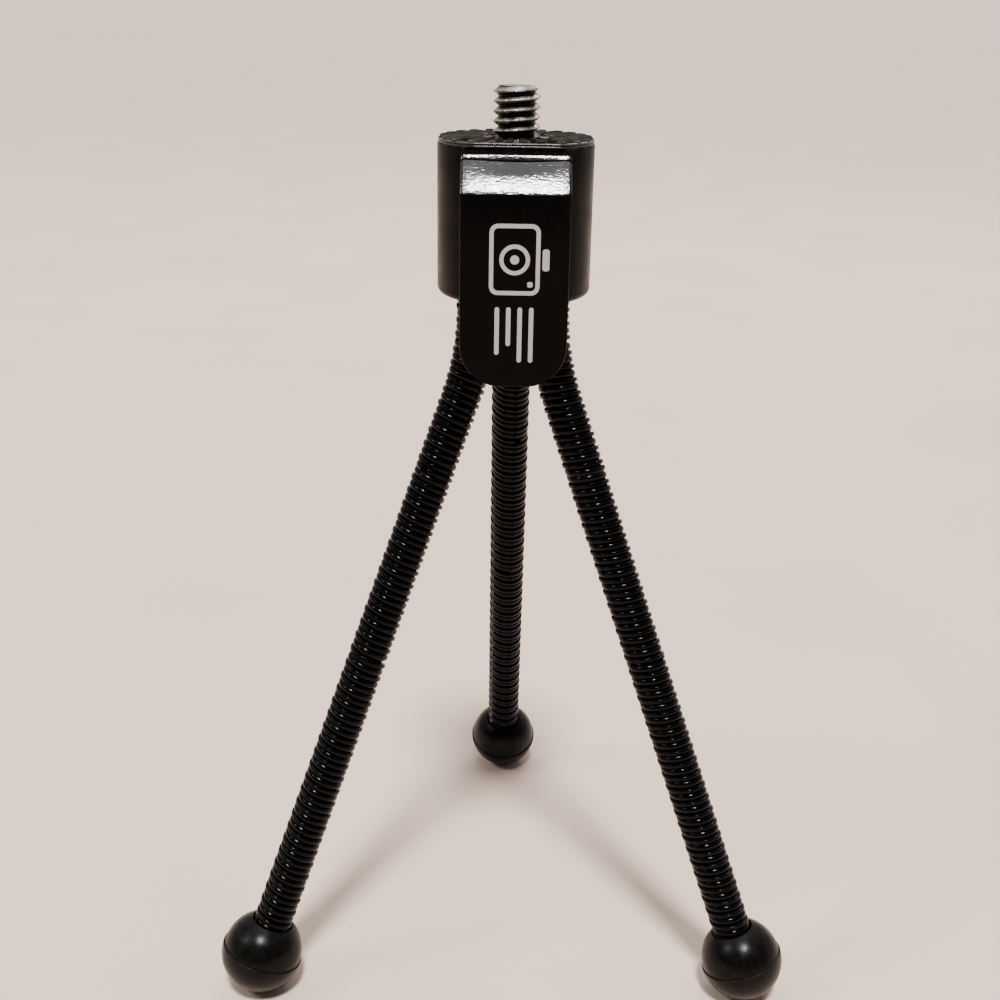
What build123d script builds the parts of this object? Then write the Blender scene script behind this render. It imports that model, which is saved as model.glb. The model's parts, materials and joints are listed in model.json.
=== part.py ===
from build123d import *
import os
from math import acos, atan2, cos, degrees, hypot, radians, sin, sqrt

os.makedirs("parts", exist_ok=True)

# Pocket camera tripod: a moulded head with a 1/4 inch stud on three bendable
# gooseneck legs with rubber ball feet. Millimetres, +Z up, front towards -Y.
# The origin is on the floor, in the middle of the box round the three feet.

# ---- driving dimensions ----
overall_h = 130.7          # floor to the tip of the stud
stud_above_pad = 6.3       # thread standing above the pad
head_r = 10.6              # moulded barrel
head_h = 21.2              # barrel's underside to the camera's face
pad_r = 10.5               # rubber pad, slightly narrower than the barrel
foot_circle_r = 42.0       # head axis to the centre of each foot
foot_r = 6.1               # lower half of the ball foot
foot_upper_r = 5.9         # upper half, one mould step smaller
leg_crest_r = 2.9          # gooseneck over its wedge wire
leg_circle_r = 5.75        # head axis to each leg's root
leg_bend_r = 33.0          # bend just under the head, in the standing pose

# ---- heights ----
stud_top = overall_h
pad_top = stud_top - stud_above_pad
head_bottom = pad_top - head_h
foot_z = foot_r

# The rear foot reaches further from the head's axis than the front two,
# so the axis stands in front of the middle of the footprint.
rear_reach = foot_circle_r + foot_r
front_reach = foot_circle_r * cos(radians(60)) + foot_r
head_y = -(rear_reach - front_reach) / 2

# ---- pad and top plate ----
pad_t = 0.6
ridge_h = 0.35
ridge_w = 0.9
ridge_count = 24
ridge_start = 180 / ridge_count    # half a ridge's share, so that a gap faces straight back
ridge_inner_r = 5.0
ridge_outer_r = 10.2
pad_hole_r = 3.45
plate_t = 1.7
pad_bottom = pad_top - ridge_h - pad_t
plate_bottom = pad_bottom - plate_t
flat_y = -8.4              # front flat of the pad and the barrel, from the axis
skirt_r = 8.7
skirt_wall = 1.3
skirt_depth = 3.2
boss_r = 7.4
boss_depth = 4.6

# ---- barrel ----
wall = 1.6
seat_y = -8.2              # flat that the front cover lies against
deck_t = 7.0               # solid floor that carries the leg roots
deck_top = head_bottom + deck_t
socket_clear = 0.1
collar_r = 3.7
collar_h = 3.0
collar_seat = deck_top - 1.8
barrel_edge_r = 1.0

# ---- rebate in the barrel that the top plate drops into ----
ledge_w = 0.5
plate_clear = 0.05
plate_r = head_r - wall + ledge_w
plate_flat_y = seat_y + wall - ledge_w

# ---- 1/4-20 stud ----
thread_r = 3.175
thread_pitch = 1.27
thread_depth = 0.62
thread_root_r = thread_r - thread_depth
hex_flats = 11.1
hex_h = 3.9
tip_chamfer = 0.5
shank_r = 3.1

# ---- front cover ----
cover_w = 14.3
cover_front_y = -12.2
cover_drop = 10.4          # how far it hangs below the barrel
cover_corner_r = 5.5
cover_wall = 1.6
cover_top_gap = 0.8
ramp_h = 4.55
ramp_lip = 0.4
cover_edge_r = 0.4
peg_r = 1.2
peg_l = 2.6
peg_places = ((0, 3.6), (-4.6, 12.0), (4.6, 12.0))  # across, above the barrel's underside

# ---- gooseneck ----
coil_lead = 2.06
groove_r = 2.45
wire_crest_r = 2.8
bore_r = 1.35
wedge_share = 0.56         # part of each lead that the wedge wire covers
wedge_slope = 0.18

# joint stations, as lengths down the leg from the hinge at its root
root_station = 0.0
sway_station = 10.0
mid_station = 38.0
low_station = 68.0
root_gap = 3.4
bend_gap = 2.8

# ---- foot ----
plug_pin_r = 1.3
plug_pin_l = 9.0
plug_head_r = 3.0
plug_head_t = 1.6
leg_in_foot = 3.4
foot_bore_r = 3.0

legs = {"front_left": 210, "front_right": 330, "rear": 90}

def at_height(z):
    """Horizontal plane on the head's axis."""
    return Plane(origin=(0, head_y, z))


def front_facing(y_from_axis, z):
    """Upright plane facing the front: X to the right, Y up."""
    return Plane(origin=(0, head_y + y_from_axis, z), x_dir=(1, 0, 0), z_dir=(0, -1, 0))


def drum(z_low, z_high, radius, mode=Mode.ADD):
    """Round disc or post on the head's axis, in the part being built."""
    with Locations(at_height(z_low)):
        Cylinder(radius, z_high - z_low, align=(Align.CENTER, Align.CENTER, Align.MIN), mode=mode)


def cut_flat(y_from_axis, z_low, z_high):
    """Cut away everything in front of an upright flat."""
    with Locations((0, head_y + y_from_axis, z_low)):
        Box(
            4 * head_r,
            4 * head_r,
            z_high - z_low,
            align=(Align.CENTER, Align.MAX, Align.MIN),
            mode=Mode.SUBTRACT,
        )


# ---- leg centreline: down, round one bend, then straight to the foot ----
bend_top = head_bottom - root_gap / 2
centre_r = leg_circle_r + leg_bend_r
to_foot_r = centre_r - foot_circle_r
to_foot_z = bend_top - foot_z
foot_distance = hypot(to_foot_r, to_foot_z)
splay = atan2(to_foot_z, to_foot_r) - acos(leg_bend_r / foot_distance)
bend_length = leg_bend_r * splay
straight_length = sqrt(foot_distance**2 - leg_bend_r**2)
leg_length = bend_length + straight_length


def leg_station(s):
    """Distance from the head's axis and height, at length s down the leg."""
    turn = min(s, bend_length) / leg_bend_r
    radius = centre_r - leg_bend_r * cos(turn)
    height = bend_top - leg_bend_r * sin(turn)
    beyond = max(s - bend_length, 0)
    return radius + beyond * sin(splay), height - beyond * cos(splay)


def leg_point(angle, s):
    """The same station as a point in space, on the leg at this angle."""
    radius, height = leg_station(s)
    x = radius * cos(radians(angle))
    y = head_y + radius * sin(radians(angle))
    return Vector(x, y, height)


def sideways(angle):
    """Horizontal direction square to the leg's own upright plane."""
    return Vector(-sin(radians(angle)), cos(radians(angle)), 0)


def section_plane(start, direction, side):
    """Plane through the leg's axis: X across the leg, Y along it."""
    return Plane(origin=start, x_dir=side, z_dir=side.cross(direction))


def coil_outline(length):
    """Half section of a gooseneck stretch, with both wires as rings."""
    turns = max(1, round(length / coil_lead))
    lead = length / turns
    wedge = lead * wedge_share
    Polyline((groove_r, length), (bore_r, length), (bore_r, 0), (groove_r, 0))
    for turn in range(turns):
        base = turn * lead
        Polyline(
            (groove_r, base),
            (leg_crest_r, base + wedge_slope),
            (leg_crest_r, base + wedge - wedge_slope),
            (groove_r, base + wedge),
        )
        ThreePointArc(
            (groove_r, base + wedge),
            (wire_crest_r, base + (wedge + lead) / 2),
            (groove_r, base + lead),
        )


def make_segment(start, end, side):
    """Rigid stretch of gooseneck between two bending places."""
    along = (end - start).normalized()
    with BuildPart() as segment:
        with BuildSketch(section_plane(start, along, side)):
            with BuildLine():
                coil_outline((end - start).length)
            make_face()
        revolve(axis=Axis(start, along))
    return segment.part


def make_bend(hinge, above, below, gap, side):
    """Short bending stretch, cut square to the two stretches it joins."""
    along = (above + below).normalized()
    start = hinge - along * gap
    with BuildPart() as bend:
        with BuildSketch(section_plane(start, along, side)):
            with BuildLine():
                coil_outline(2 * gap)
            make_face()
        revolve(axis=Axis(start, along))
        split(bisect_by=Plane(origin=hinge - above * gap / 2, z_dir=above), keep=Keep.TOP)
        split(bisect_by=Plane(origin=hinge + below * gap / 2, z_dir=below), keep=Keep.BOTTOM)
    return bend.part


def make_plug(leg_end, along, side):
    """Metal pin pressed into the gooseneck, with a head inside the foot."""
    pin_top = leg_end - along * plug_pin_l
    with BuildPart() as plug:
        with BuildSketch(section_plane(pin_top, along, side)):
            with Locations((plug_pin_r / 2, plug_pin_l / 2)):
                Rectangle(plug_pin_r, plug_pin_l)
            with Locations((plug_head_r / 2, plug_pin_l + plug_head_t / 2)):
                Rectangle(plug_head_r, plug_head_t)
        revolve(axis=Axis(pin_top, along))
    return plug.part


def make_foot(centre, along, side):
    """Rubber ball whose two halves meet in a small step, bored for the leg."""
    bore_depth = foot_upper_r - leg_in_foot - plug_head_t
    with BuildPart() as foot:
        with BuildSketch(section_plane(centre, along, side)):
            with BuildLine():
                Line((0, foot_r), (0, -foot_upper_r))
                JernArc((0, -foot_upper_r), (1, 0), foot_upper_r, 90)
                Line((foot_upper_r, 0), (foot_r, 0))
                JernArc((foot_r, 0), (0, 1), foot_r, 90)
            make_face()
        revolve(axis=Axis(centre, along))
        with BuildSketch(Plane(origin=centre - along * bore_depth, z_dir=-along)):
            Circle(foot_bore_r)
        extrude(amount=2 * foot_r, mode=Mode.SUBTRACT)
    return foot.part


# ---- barrel: a cup with three leg sockets in its floor ----
with BuildPart() as head_body:
    drum(head_bottom, pad_bottom, head_r)
    cut_flat(seat_y, head_bottom, pad_bottom)
    bottom_edges = head_body.edges().group_by(Axis.Z)[0]
    fillet(bottom_edges, radius=barrel_edge_r)
    with BuildSketch(at_height(deck_top)):
        Circle(head_r - wall)
        with Locations((0, seat_y + wall - 2 * head_r)):
            Rectangle(4 * head_r, 4 * head_r, mode=Mode.SUBTRACT)
    extrude(amount=head_h, mode=Mode.SUBTRACT)
    with BuildSketch(at_height(plate_bottom)):
        Circle(plate_r + plate_clear)
        with Locations((0, plate_flat_y - plate_clear - 2 * head_r)):
            Rectangle(4 * head_r, 4 * head_r, mode=Mode.SUBTRACT)
    extrude(amount=head_h, mode=Mode.SUBTRACT)
    with BuildSketch(at_height(head_bottom)):
        for angle in legs.values():
            with Locations((leg_circle_r * cos(radians(angle)), leg_circle_r * sin(radians(angle)))):
                Circle(leg_crest_r + socket_clear)
    extrude(amount=head_h, mode=Mode.SUBTRACT)
    with BuildSketch(at_height(collar_seat)):
        for angle in legs.values():
            with Locations((leg_circle_r * cos(radians(angle)), leg_circle_r * sin(radians(angle)))):
                Circle(collar_r)
    extrude(amount=head_h, mode=Mode.SUBTRACT)
    with BuildSketch(front_facing(seat_y, head_bottom)):
        with Locations(peg_places):
            Circle(peg_r)
    extrude(amount=-peg_l, mode=Mode.SUBTRACT)
head_body.part.label = "head_body"
export_step(head_body.part, "parts/head_body.step")

# ---- crimped collars that keep the legs from pulling out of the barrel ----
with BuildPart() as leg_collars:
    with BuildSketch(at_height(collar_seat)):
        for angle in legs.values():
            with Locations((leg_circle_r * cos(radians(angle)), leg_circle_r * sin(radians(angle)))):
                Circle(collar_r)
                Circle(leg_crest_r, mode=Mode.SUBTRACT)
    extrude(amount=collar_h)
leg_collars.part.label = "leg_collars"
export_step(leg_collars.part, "parts/leg_collars.step")

# ---- top plate: closes the barrel and holds the stud's hex head ----
with BuildPart() as top_plate:
    drum(plate_bottom, pad_bottom, plate_r)
    drum(plate_bottom - boss_depth, plate_bottom, boss_r)
    with BuildSketch(at_height(plate_bottom - skirt_depth)):
        Circle(skirt_r)
        Circle(skirt_r - skirt_wall, mode=Mode.SUBTRACT)
    extrude(amount=skirt_depth)
    cut_flat(seat_y + wall + socket_clear, plate_bottom - boss_depth, plate_bottom)
    cut_flat(plate_flat_y, plate_bottom, pad_bottom)
    with BuildSketch(at_height(plate_bottom - boss_depth)):
        RegularPolygon(hex_flats / 2, 6, major_radius=False)
    extrude(amount=boss_depth, mode=Mode.SUBTRACT)
    drum(plate_bottom, pad_bottom, shank_r, mode=Mode.SUBTRACT)
top_plate.part.label = "top_plate"
export_step(top_plate.part, "parts/top_plate.step")

# ---- rubber pad with radial ridges ----
with BuildPart() as top_pad:
    drum(pad_bottom, pad_top - ridge_h, pad_r)
    with BuildSketch(at_height(pad_top - ridge_h)):
        with PolarLocations((ridge_inner_r + ridge_outer_r) / 2, ridge_count, ridge_start):
            Rectangle(ridge_outer_r - ridge_inner_r, ridge_w)
    extrude(amount=ridge_h)
    drum(pad_bottom, pad_top, pad_hole_r, mode=Mode.SUBTRACT)
    cut_flat(flat_y, pad_bottom, pad_top)
top_pad.part.label = "top_pad"
export_step(top_pad.part, "parts/top_pad.step")

# ---- 1/4-20 stud, its hex head held in the top plate ----
thread_start = pad_bottom + 0.4
with BuildPart() as camera_screw:
    with BuildSketch(at_height(plate_bottom - hex_h)):
        RegularPolygon(hex_flats / 2, 6, major_radius=False)
    extrude(amount=hex_h)
    drum(plate_bottom, thread_start, shank_r)
    drum(thread_start, stud_top, thread_root_r)
    tip_edge = camera_screw.edges().group_by(Axis.Z)[-1]
    chamfer(tip_edge, length=tip_chamfer)
    with BuildLine(at_height(thread_start + thread_pitch / 2)) as helix:
        Helix(
            pitch=thread_pitch,
            height=stud_top - thread_start - 1.6 * thread_pitch,
            radius=thread_root_r - 0.05,
        )
    with BuildSketch(Plane(origin=helix.line @ 0, x_dir=(1, 0, 0), z_dir=helix.line % 0)):
        with BuildLine():
            Polyline(
                (0, -0.5 * thread_pitch + 0.06),
                (thread_depth + 0.05, -0.07 * thread_pitch),
                (thread_depth + 0.05, 0.07 * thread_pitch),
                (0, 0.5 * thread_pitch - 0.06),
                close=True,
            )
        make_face()
    sweep(path=helix.line, is_frenet=True)
camera_screw.part.label = "camera_screw"
export_step(camera_screw.part, "parts/camera_screw.step")

# ---- front cover: a tab down the front with a sloping top ----
cover_top = pad_bottom - cover_top_gap
cover_bottom = head_bottom - cover_drop
cover_h = cover_top - cover_bottom
with BuildPart() as front_cover:
    with BuildSketch(Plane(origin=(-cover_w / 2, head_y, 0), x_dir=(0, 1, 0), z_dir=(1, 0, 0))):
        with BuildLine():
            Polyline(
                (seat_y, cover_bottom),
                (seat_y, cover_top),
                (seat_y - ramp_lip, cover_top),
                (cover_front_y, cover_top - ramp_h),
                (cover_front_y, cover_bottom),
                close=True,
            )
        make_face()
    extrude(amount=cover_w)
    corners = front_cover.edges().filter_by(Axis.Y).group_by(Axis.Z)[0]
    fillet(corners, radius=cover_corner_r)
    front_face = front_cover.faces().sort_by(Axis.Y)[0]
    outer_edges = front_face.edges().filter_by(Axis.X, reverse=True)
    fillet(outer_edges, radius=cover_edge_r)
    with BuildSketch(front_facing(seat_y, cover_bottom + cover_wall)):
        with Locations((0, (cover_h - 2 * cover_wall - ramp_h) / 2)):
            RectangleRounded(
                cover_w - 2 * cover_wall,
                cover_h - 2 * cover_wall - ramp_h,
                cover_corner_r - cover_wall,
            )
    extrude(amount=seat_y - cover_front_y - cover_wall, mode=Mode.SUBTRACT)
    with BuildSketch(front_facing(cover_front_y + cover_wall, head_bottom)):
        with Locations(peg_places):
            Circle(peg_r)
    extrude(amount=-(seat_y - cover_front_y - cover_wall + peg_l))
front_cover.part.label = "front_cover"
export_step(front_cover.part, "parts/front_cover.step")

# ---- the three legs ----
stations = (root_station, sway_station, mid_station, low_station)
gaps = (root_gap, bend_gap, bend_gap, bend_gap)
segment_names = ("upper", "sway", "middle", "lower")
bend_names = ("root_bend", "sway_bend", "middle_bend", "lower_bend")

for leg, angle in legs.items():
    side = sideways(angle)
    down = Vector(0, 0, -1)
    foot_centre = leg_point(angle, leg_length)
    hinges = [leg_point(angle, s) for s in stations]
    ends = hinges[1:] + [foot_centre]
    directions = [(end - hinge).normalized() for hinge, end in zip(hinges, ends)]
    leg_end = foot_centre - directions[-1] * (foot_upper_r - leg_in_foot)

    root_top = Vector(hinges[0].X, hinges[0].Y, deck_top + 1.2)
    root_end = hinges[0] - down * root_gap / 2
    root = make_segment(root_top, root_end, side)
    root.label = f"{leg}_leg_root"
    export_step(root, f"parts/{root.label}.step")

    above = down
    for index in range(len(hinges)):
        along = directions[index]
        start = hinges[index] + along * gaps[index] / 2
        if index + 1 < len(hinges):
            end = hinges[index + 1] - along * gaps[index + 1] / 2
        else:
            end = leg_end
        stretch = make_segment(start, end, side)
        stretch.label = f"{leg}_leg_{segment_names[index]}"
        export_step(stretch, f"parts/{stretch.label}.step")
        bend = make_bend(hinges[index], above, along, gaps[index], side)
        bend.label = f"{leg}_{bend_names[index]}"
        export_step(bend, f"parts/{bend.label}.step")
        above = along

    plug = make_plug(leg_end, directions[-1], side)
    plug.label = f"{leg}_foot_plug"
    export_step(plug, f"parts/{plug.label}.step")
    foot = make_foot(foot_centre, directions[-1], side)
    foot.label = f"{leg}_foot"
    export_step(foot, f"parts/{foot.label}.step")

print(f"splay {degrees(splay):.2f} deg, leg length {leg_length:.2f} mm, head axis y {head_y:.2f}")
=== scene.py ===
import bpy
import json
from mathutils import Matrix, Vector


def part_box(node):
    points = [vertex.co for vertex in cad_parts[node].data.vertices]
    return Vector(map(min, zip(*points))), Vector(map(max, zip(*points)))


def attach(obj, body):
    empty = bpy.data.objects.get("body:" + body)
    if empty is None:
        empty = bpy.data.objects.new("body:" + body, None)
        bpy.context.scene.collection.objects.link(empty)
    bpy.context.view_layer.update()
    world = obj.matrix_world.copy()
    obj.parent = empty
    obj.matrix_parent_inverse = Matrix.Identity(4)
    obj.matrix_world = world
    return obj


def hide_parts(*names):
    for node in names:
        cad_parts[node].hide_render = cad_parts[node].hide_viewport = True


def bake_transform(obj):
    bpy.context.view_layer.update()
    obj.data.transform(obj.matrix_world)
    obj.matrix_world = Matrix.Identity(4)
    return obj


bl_info = {
    "name": "Gooseneck Pocket Tripod",
    "version": (1, 0, 0),
    "blender": (4, 5, 0),
    "location": "View3D > Sidebar > Tripod",
    "description": "Builds the visible pieces and finishes of a pocket camera tripod around its packed frame",
    "category": "Object",
}

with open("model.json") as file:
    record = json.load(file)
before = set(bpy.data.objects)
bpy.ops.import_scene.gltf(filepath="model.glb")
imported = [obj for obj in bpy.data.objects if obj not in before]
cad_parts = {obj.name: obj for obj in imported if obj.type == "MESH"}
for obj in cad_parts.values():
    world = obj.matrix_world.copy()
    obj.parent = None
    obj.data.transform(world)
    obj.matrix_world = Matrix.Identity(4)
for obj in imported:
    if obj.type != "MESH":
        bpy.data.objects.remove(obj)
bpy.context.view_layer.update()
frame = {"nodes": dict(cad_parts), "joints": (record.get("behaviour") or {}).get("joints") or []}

import json
import math

import bmesh
import bpy
from bpy.props import (
    FloatProperty,
    FloatVectorProperty,
    IntProperty,
    PointerProperty,
)
from mathutils import Matrix, Vector

MM = 0.001
LEGS = ("front_left", "front_right", "rear")


# ---------------------------------------------------------------------------
# Sizes read from the frame
# ---------------------------------------------------------------------------

def span(node):
    """Lowest corner, highest corner and size of a frame node."""
    low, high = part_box(node)
    return low, high, high - low


stud_low, stud_high, stud_size = span("camera_screw")
pad_low, pad_high, pad_size = span("top_pad")
head_low, head_high, head_size = span("head_body")
cover_low, cover_high, cover_size = span("front_cover")
plate_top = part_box("top_plate")[1].z

HEAD_X = 0.0
HEAD_Y = pad_high.y - pad_size.x / 2
HEAD_R = head_size.x / 2
PAD_R = pad_size.x / 2
PAD_FLAT = HEAD_Y - pad_low.y
HEAD_FLAT = HEAD_Y - head_low.y
FOOT_R = span("rear_foot")[2].x / 2
JOINTS = {joint["name"]: joint for joint in frame["joints"]}


def head_point(x, y, z):
    """A point given from the head's own axis."""
    return Vector((HEAD_X + x, HEAD_Y + y, z))


class LegLine:
    """Centreline of one leg: straight down, round a bend, straight to its foot."""

    def __init__(self, leg):
        names = ("splay", "sway", "bend_mid", "bend_low")
        self.hinges = [Vector(JOINTS[f"{leg}_{name}"]["pos_m"]) for name in names]
        outward_axis = Vector(JOINTS[f"{leg}_splay"]["axis"]).normalized()
        self.side = -outward_axis
        self.outward = self.side.cross(Vector((0, 0, 1))).normalized()
        self.run = (self.hinges[3] - self.hinges[2]).normalized()
        self.splay = math.acos(-self.run.z)
        drop = self.hinges[0] - self.hinges[3]
        reach = (self.hinges[3] - self.hinges[0]).dot(self.outward)
        corner = drop.z - reach / math.tan(self.splay)
        self.bend_radius = corner / math.tan(self.splay / 2)
        self.bend_length = self.bend_radius * self.splay
        along = (self.hinges[3].z - FOOT_R) / math.cos(self.splay)
        self.foot = self.hinges[3] + self.run * along
        straight_start = self.at(self.bend_length)
        self.length = self.bend_length + (self.foot - straight_start).length
        self.stations = [0.0]
        for hinge in self.hinges[1:]:
            self.stations.append(self.nearest(hinge))

    def at(self, s):
        """Point at length s below the root hinge; negative s is inside the head."""
        root = self.hinges[0]
        if s <= 0:
            return root - Vector((0, 0, s))
        turn = min(s, self.bend_length) / self.bend_radius
        out = self.bend_radius * (1 - math.cos(turn))
        down = self.bend_radius * math.sin(turn)
        beyond = max(s - self.bend_length, 0)
        out += beyond * math.sin(self.splay)
        down += beyond * math.cos(self.splay)
        return root + self.outward * out - Vector((0, 0, down))

    def nearest(self, point):
        """Length along the leg whose height is the point's."""
        low, high = 0.0, 0.2
        for _ in range(40):
            middle = (low + high) / 2
            if self.at(middle).z > point.z:
                low = middle
            else:
                high = middle
        return low


# ---------------------------------------------------------------------------
# Properties
# ---------------------------------------------------------------------------

class LegSettings(bpy.types.PropertyGroup):
    lead: FloatProperty(
        name="Lead", description="Length of leg that one turn of the wires takes up",
        default=2.06 * MM, min=1 * MM, max=5 * MM, subtype="DISTANCE", unit="LENGTH", precision=5)
    outer_radius: FloatProperty(
        name="Outer radius", description="Leg's axis to the wedge wire's flat",
        default=2.9 * MM, min=1 * MM, max=6 * MM, subtype="DISTANCE", unit="LENGTH", precision=5)
    round_wire: FloatProperty(
        name="Round wire", description="Radius of the round spring wire",
        default=0.62 * MM, min=0.1 * MM, max=2 * MM, subtype="DISTANCE", unit="LENGTH", precision=5)
    wedge_width: FloatProperty(
        name="Wedge width", description="Width of the wedge wire's outer flat",
        default=1.28 * MM, min=0.2 * MM, max=3 * MM, subtype="DISTANCE", unit="LENGTH", precision=5)
    wedge_depth: FloatProperty(
        name="Wedge depth", description="Depth of the wedge wire towards the leg's axis",
        default=0.95 * MM, min=0.2 * MM, max=3 * MM, subtype="DISTANCE", unit="LENGTH", precision=5)
    steps: IntProperty(
        name="Steps per turn", description="Points on each turn of a wire",
        default=26, min=8, max=64)
    colour: FloatVectorProperty(
        name="Wire colour", description="Colour of the blackened spring steel",
        default=(0.0008, 0.0008, 0.0009), size=3, min=0, max=1, subtype="COLOR")


class FootSettings(bpy.types.PropertyGroup):
    step: FloatProperty(
        name="Mould step", description="How far the lower half stands proud of the upper half",
        default=0.2 * MM, min=0, max=1 * MM, subtype="DISTANCE", unit="LENGTH", precision=5)
    colour: FloatVectorProperty(
        name="Rubber colour", description="Colour of the ball feet",
        default=(0.0012, 0.0012, 0.0013), size=3, min=0, max=1, subtype="COLOR")


class HeadSettings(bpy.types.PropertyGroup):
    edge_radius: FloatProperty(
        name="Lower edge", description="Rounding of the barrel's lower edge",
        default=1.0 * MM, min=0.1 * MM, max=3 * MM, subtype="DISTANCE", unit="LENGTH", precision=5)
    colour: FloatVectorProperty(
        name="Barrel colour", description="Colour of the moulded barrel",
        default=(0.0018, 0.0015, 0.0013), size=3, min=0, max=1, subtype="COLOR")
    cover_colour: FloatVectorProperty(
        name="Cover colour", description="Colour of the front cover",
        default=(0.0010, 0.0010, 0.0010), size=3, min=0, max=1, subtype="COLOR")
    ink_colour: FloatVectorProperty(
        name="Ink colour", description="Colour of the printed pictogram",
        default=(0.40, 0.40, 0.395), size=3, min=0, max=1, subtype="COLOR")


class PadSettings(bpy.types.PropertyGroup):
    ridges: IntProperty(
        name="Ridges", description="Radial ridges round the pad",
        default=24, min=8, max=96)
    ridge_width: FloatProperty(
        name="Ridge width", description="Width of one ridge",
        default=1.0 * MM, min=0.2 * MM, max=3 * MM, subtype="DISTANCE", unit="LENGTH", precision=5)
    ridge_height: FloatProperty(
        name="Ridge height", description="Height of the ridges over the pad",
        default=0.35 * MM, min=0.05 * MM, max=2 * MM, subtype="DISTANCE", unit="LENGTH", precision=5)
    colour: FloatVectorProperty(
        name="Pad colour", description="Colour of the rubber under its dust",
        default=(0.0030, 0.0029, 0.0028), size=3, min=0, max=1, subtype="COLOR")


class StudSettings(bpy.types.PropertyGroup):
    pitch: FloatProperty(
        name="Pitch", description="Pitch of the camera thread",
        default=1.27 * MM, min=0.2 * MM, max=5 * MM, subtype="DISTANCE", unit="LENGTH", precision=5)
    major_radius: FloatProperty(
        name="Major radius", description="Stud's axis to the thread's crest",
        default=3.175 * MM, min=1 * MM, max=8 * MM, subtype="DISTANCE", unit="LENGTH", precision=5)
    depth: FloatProperty(
        name="Thread depth", description="Crest to root",
        default=0.69 * MM, min=0.1 * MM, max=2 * MM, subtype="DISTANCE", unit="LENGTH", precision=5)
    colour: FloatVectorProperty(
        name="Steel colour", description="Colour of the worn plated steel",
        default=(0.42, 0.405, 0.375), size=3, min=0, max=1, subtype="COLOR")


class StageSettings(bpy.types.PropertyGroup):
    floor_colour: FloatVectorProperty(
        name="Floor colour", description="Colour of the pale floor",
        default=(0.76, 0.59, 0.50), size=3, min=0, max=1, subtype="COLOR")
    key_strength: FloatProperty(
        name="Key strength", description="Light of the main lamp, in watts on each square metre",
        default=5.4, min=0, max=100)
    key_size: FloatProperty(
        name="Key size", description="How wide the main lamp looks from the tripod",
        default=math.radians(9), min=0, max=math.radians(60), subtype="ANGLE", unit="ROTATION")
    ceiling_power: FloatProperty(
        name="Ceiling power", description="Power of the wide soft lamp overhead, in watts",
        default=5.0, min=0, max=200)
    side_power: FloatProperty(
        name="Side power", description="Power of the small lamp at the left, in watts",
        default=3.0, min=0, max=200)
    room_strength: FloatProperty(
        name="Room", description="Strength of the light from the walls behind",
        default=0.75, min=0, max=5)
    lens: FloatProperty(
        name="Lens", description="Focal length on a 36 mm wide sensor, in millimetres",
        default=45.6, min=10, max=200)


# ---------------------------------------------------------------------------
# Mesh helpers
# ---------------------------------------------------------------------------

def link(obj):
    """Puts an object into the scene and hands it back."""
    bpy.context.scene.collection.objects.link(obj)
    return obj


def mesh_from(bm, name, smooth_angle=40):
    """Finished mesh with outward faces, smooth but for its real corners."""
    bmesh.ops.remove_doubles(bm, verts=bm.verts, dist=1e-7)
    bmesh.ops.recalc_face_normals(bm, faces=bm.faces)
    limit = math.radians(smooth_angle)
    for edge in bm.edges:
        edge.smooth = len(edge.link_faces) == 2 and edge.calc_face_angle(0) < limit
    for face in bm.faces:
        face.smooth = True
    mesh = bpy.data.meshes.new(name)
    bm.to_mesh(mesh)
    bm.free()
    return mesh


def add_loop(bm, points):
    """New vertices at the points of one ring."""
    return [bm.verts.new(point) for point in points]


def bridge(bm, first, second):
    """Quads between two closed loops of equal count."""
    count = len(first)
    for i in range(count):
        j = (i + 1) % count
        bm.faces.new((first[i], first[j], second[j], second[i]))


def loft(bm, rings, close_start=True, close_end=True):
    """Skin over closed loops of points, with flat ends if asked."""
    loops = [add_loop(bm, ring) for ring in rings]
    for first, second in zip(loops, loops[1:]):
        bridge(bm, first, second)
    if close_start:
        bm.faces.new(list(reversed(loops[0])))
    if close_end:
        bm.faces.new(loops[-1])
    return loops


def turned(bm, profile, origin, axis, side, segments):
    """Solid of revolution. The profile is (radius, distance along the axis) pairs."""
    across = axis.cross(side)
    previous = None
    for radius, along in profile:
        centre = origin + axis * along
        if radius < 1e-9:
            current = [bm.verts.new(centre)]
        else:
            current = []
            for i in range(segments):
                angle = 2 * math.pi * i / segments
                spoke = side * math.cos(angle) + across * math.sin(angle)
                current.append(bm.verts.new(centre + spoke * radius))
        if previous is not None:
            if len(previous) == 1:
                for i in range(segments):
                    bm.faces.new((previous[0], current[(i + 1) % segments], current[i]))
            elif len(current) == 1:
                for i in range(segments):
                    bm.faces.new((previous[i], previous[(i + 1) % segments], current[0]))
            else:
                bridge(bm, previous, current)
        previous = current


def arc(centre_x, centre_y, radius, start, end, steps):
    """Points on an arc in a plane, angles in degrees."""
    points = []
    for i in range(steps + 1):
        angle = math.radians(start + (end - start) * i / steps)
        points.append((centre_x + radius * math.cos(angle), centre_y + radius * math.sin(angle)))
    return points


def finish_piece(name, mesh, material, bodies, replaced=(), blend_line=None):
    """Puts a finished mesh into the scene and ties it to its first body; given a blend line, it only bakes
    the mesh in place.
    """
    obj = link(bpy.data.objects.new(name, mesh))
    mesh.materials.clear()
    mesh.materials.append(material)
    if blend_line is None:
        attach(obj, bodies[0])
    else:
        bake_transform(obj)
    if replaced:
        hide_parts(*replaced)
    return obj


# ---------------------------------------------------------------------------
# Shader node groups and materials
# ---------------------------------------------------------------------------

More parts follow.
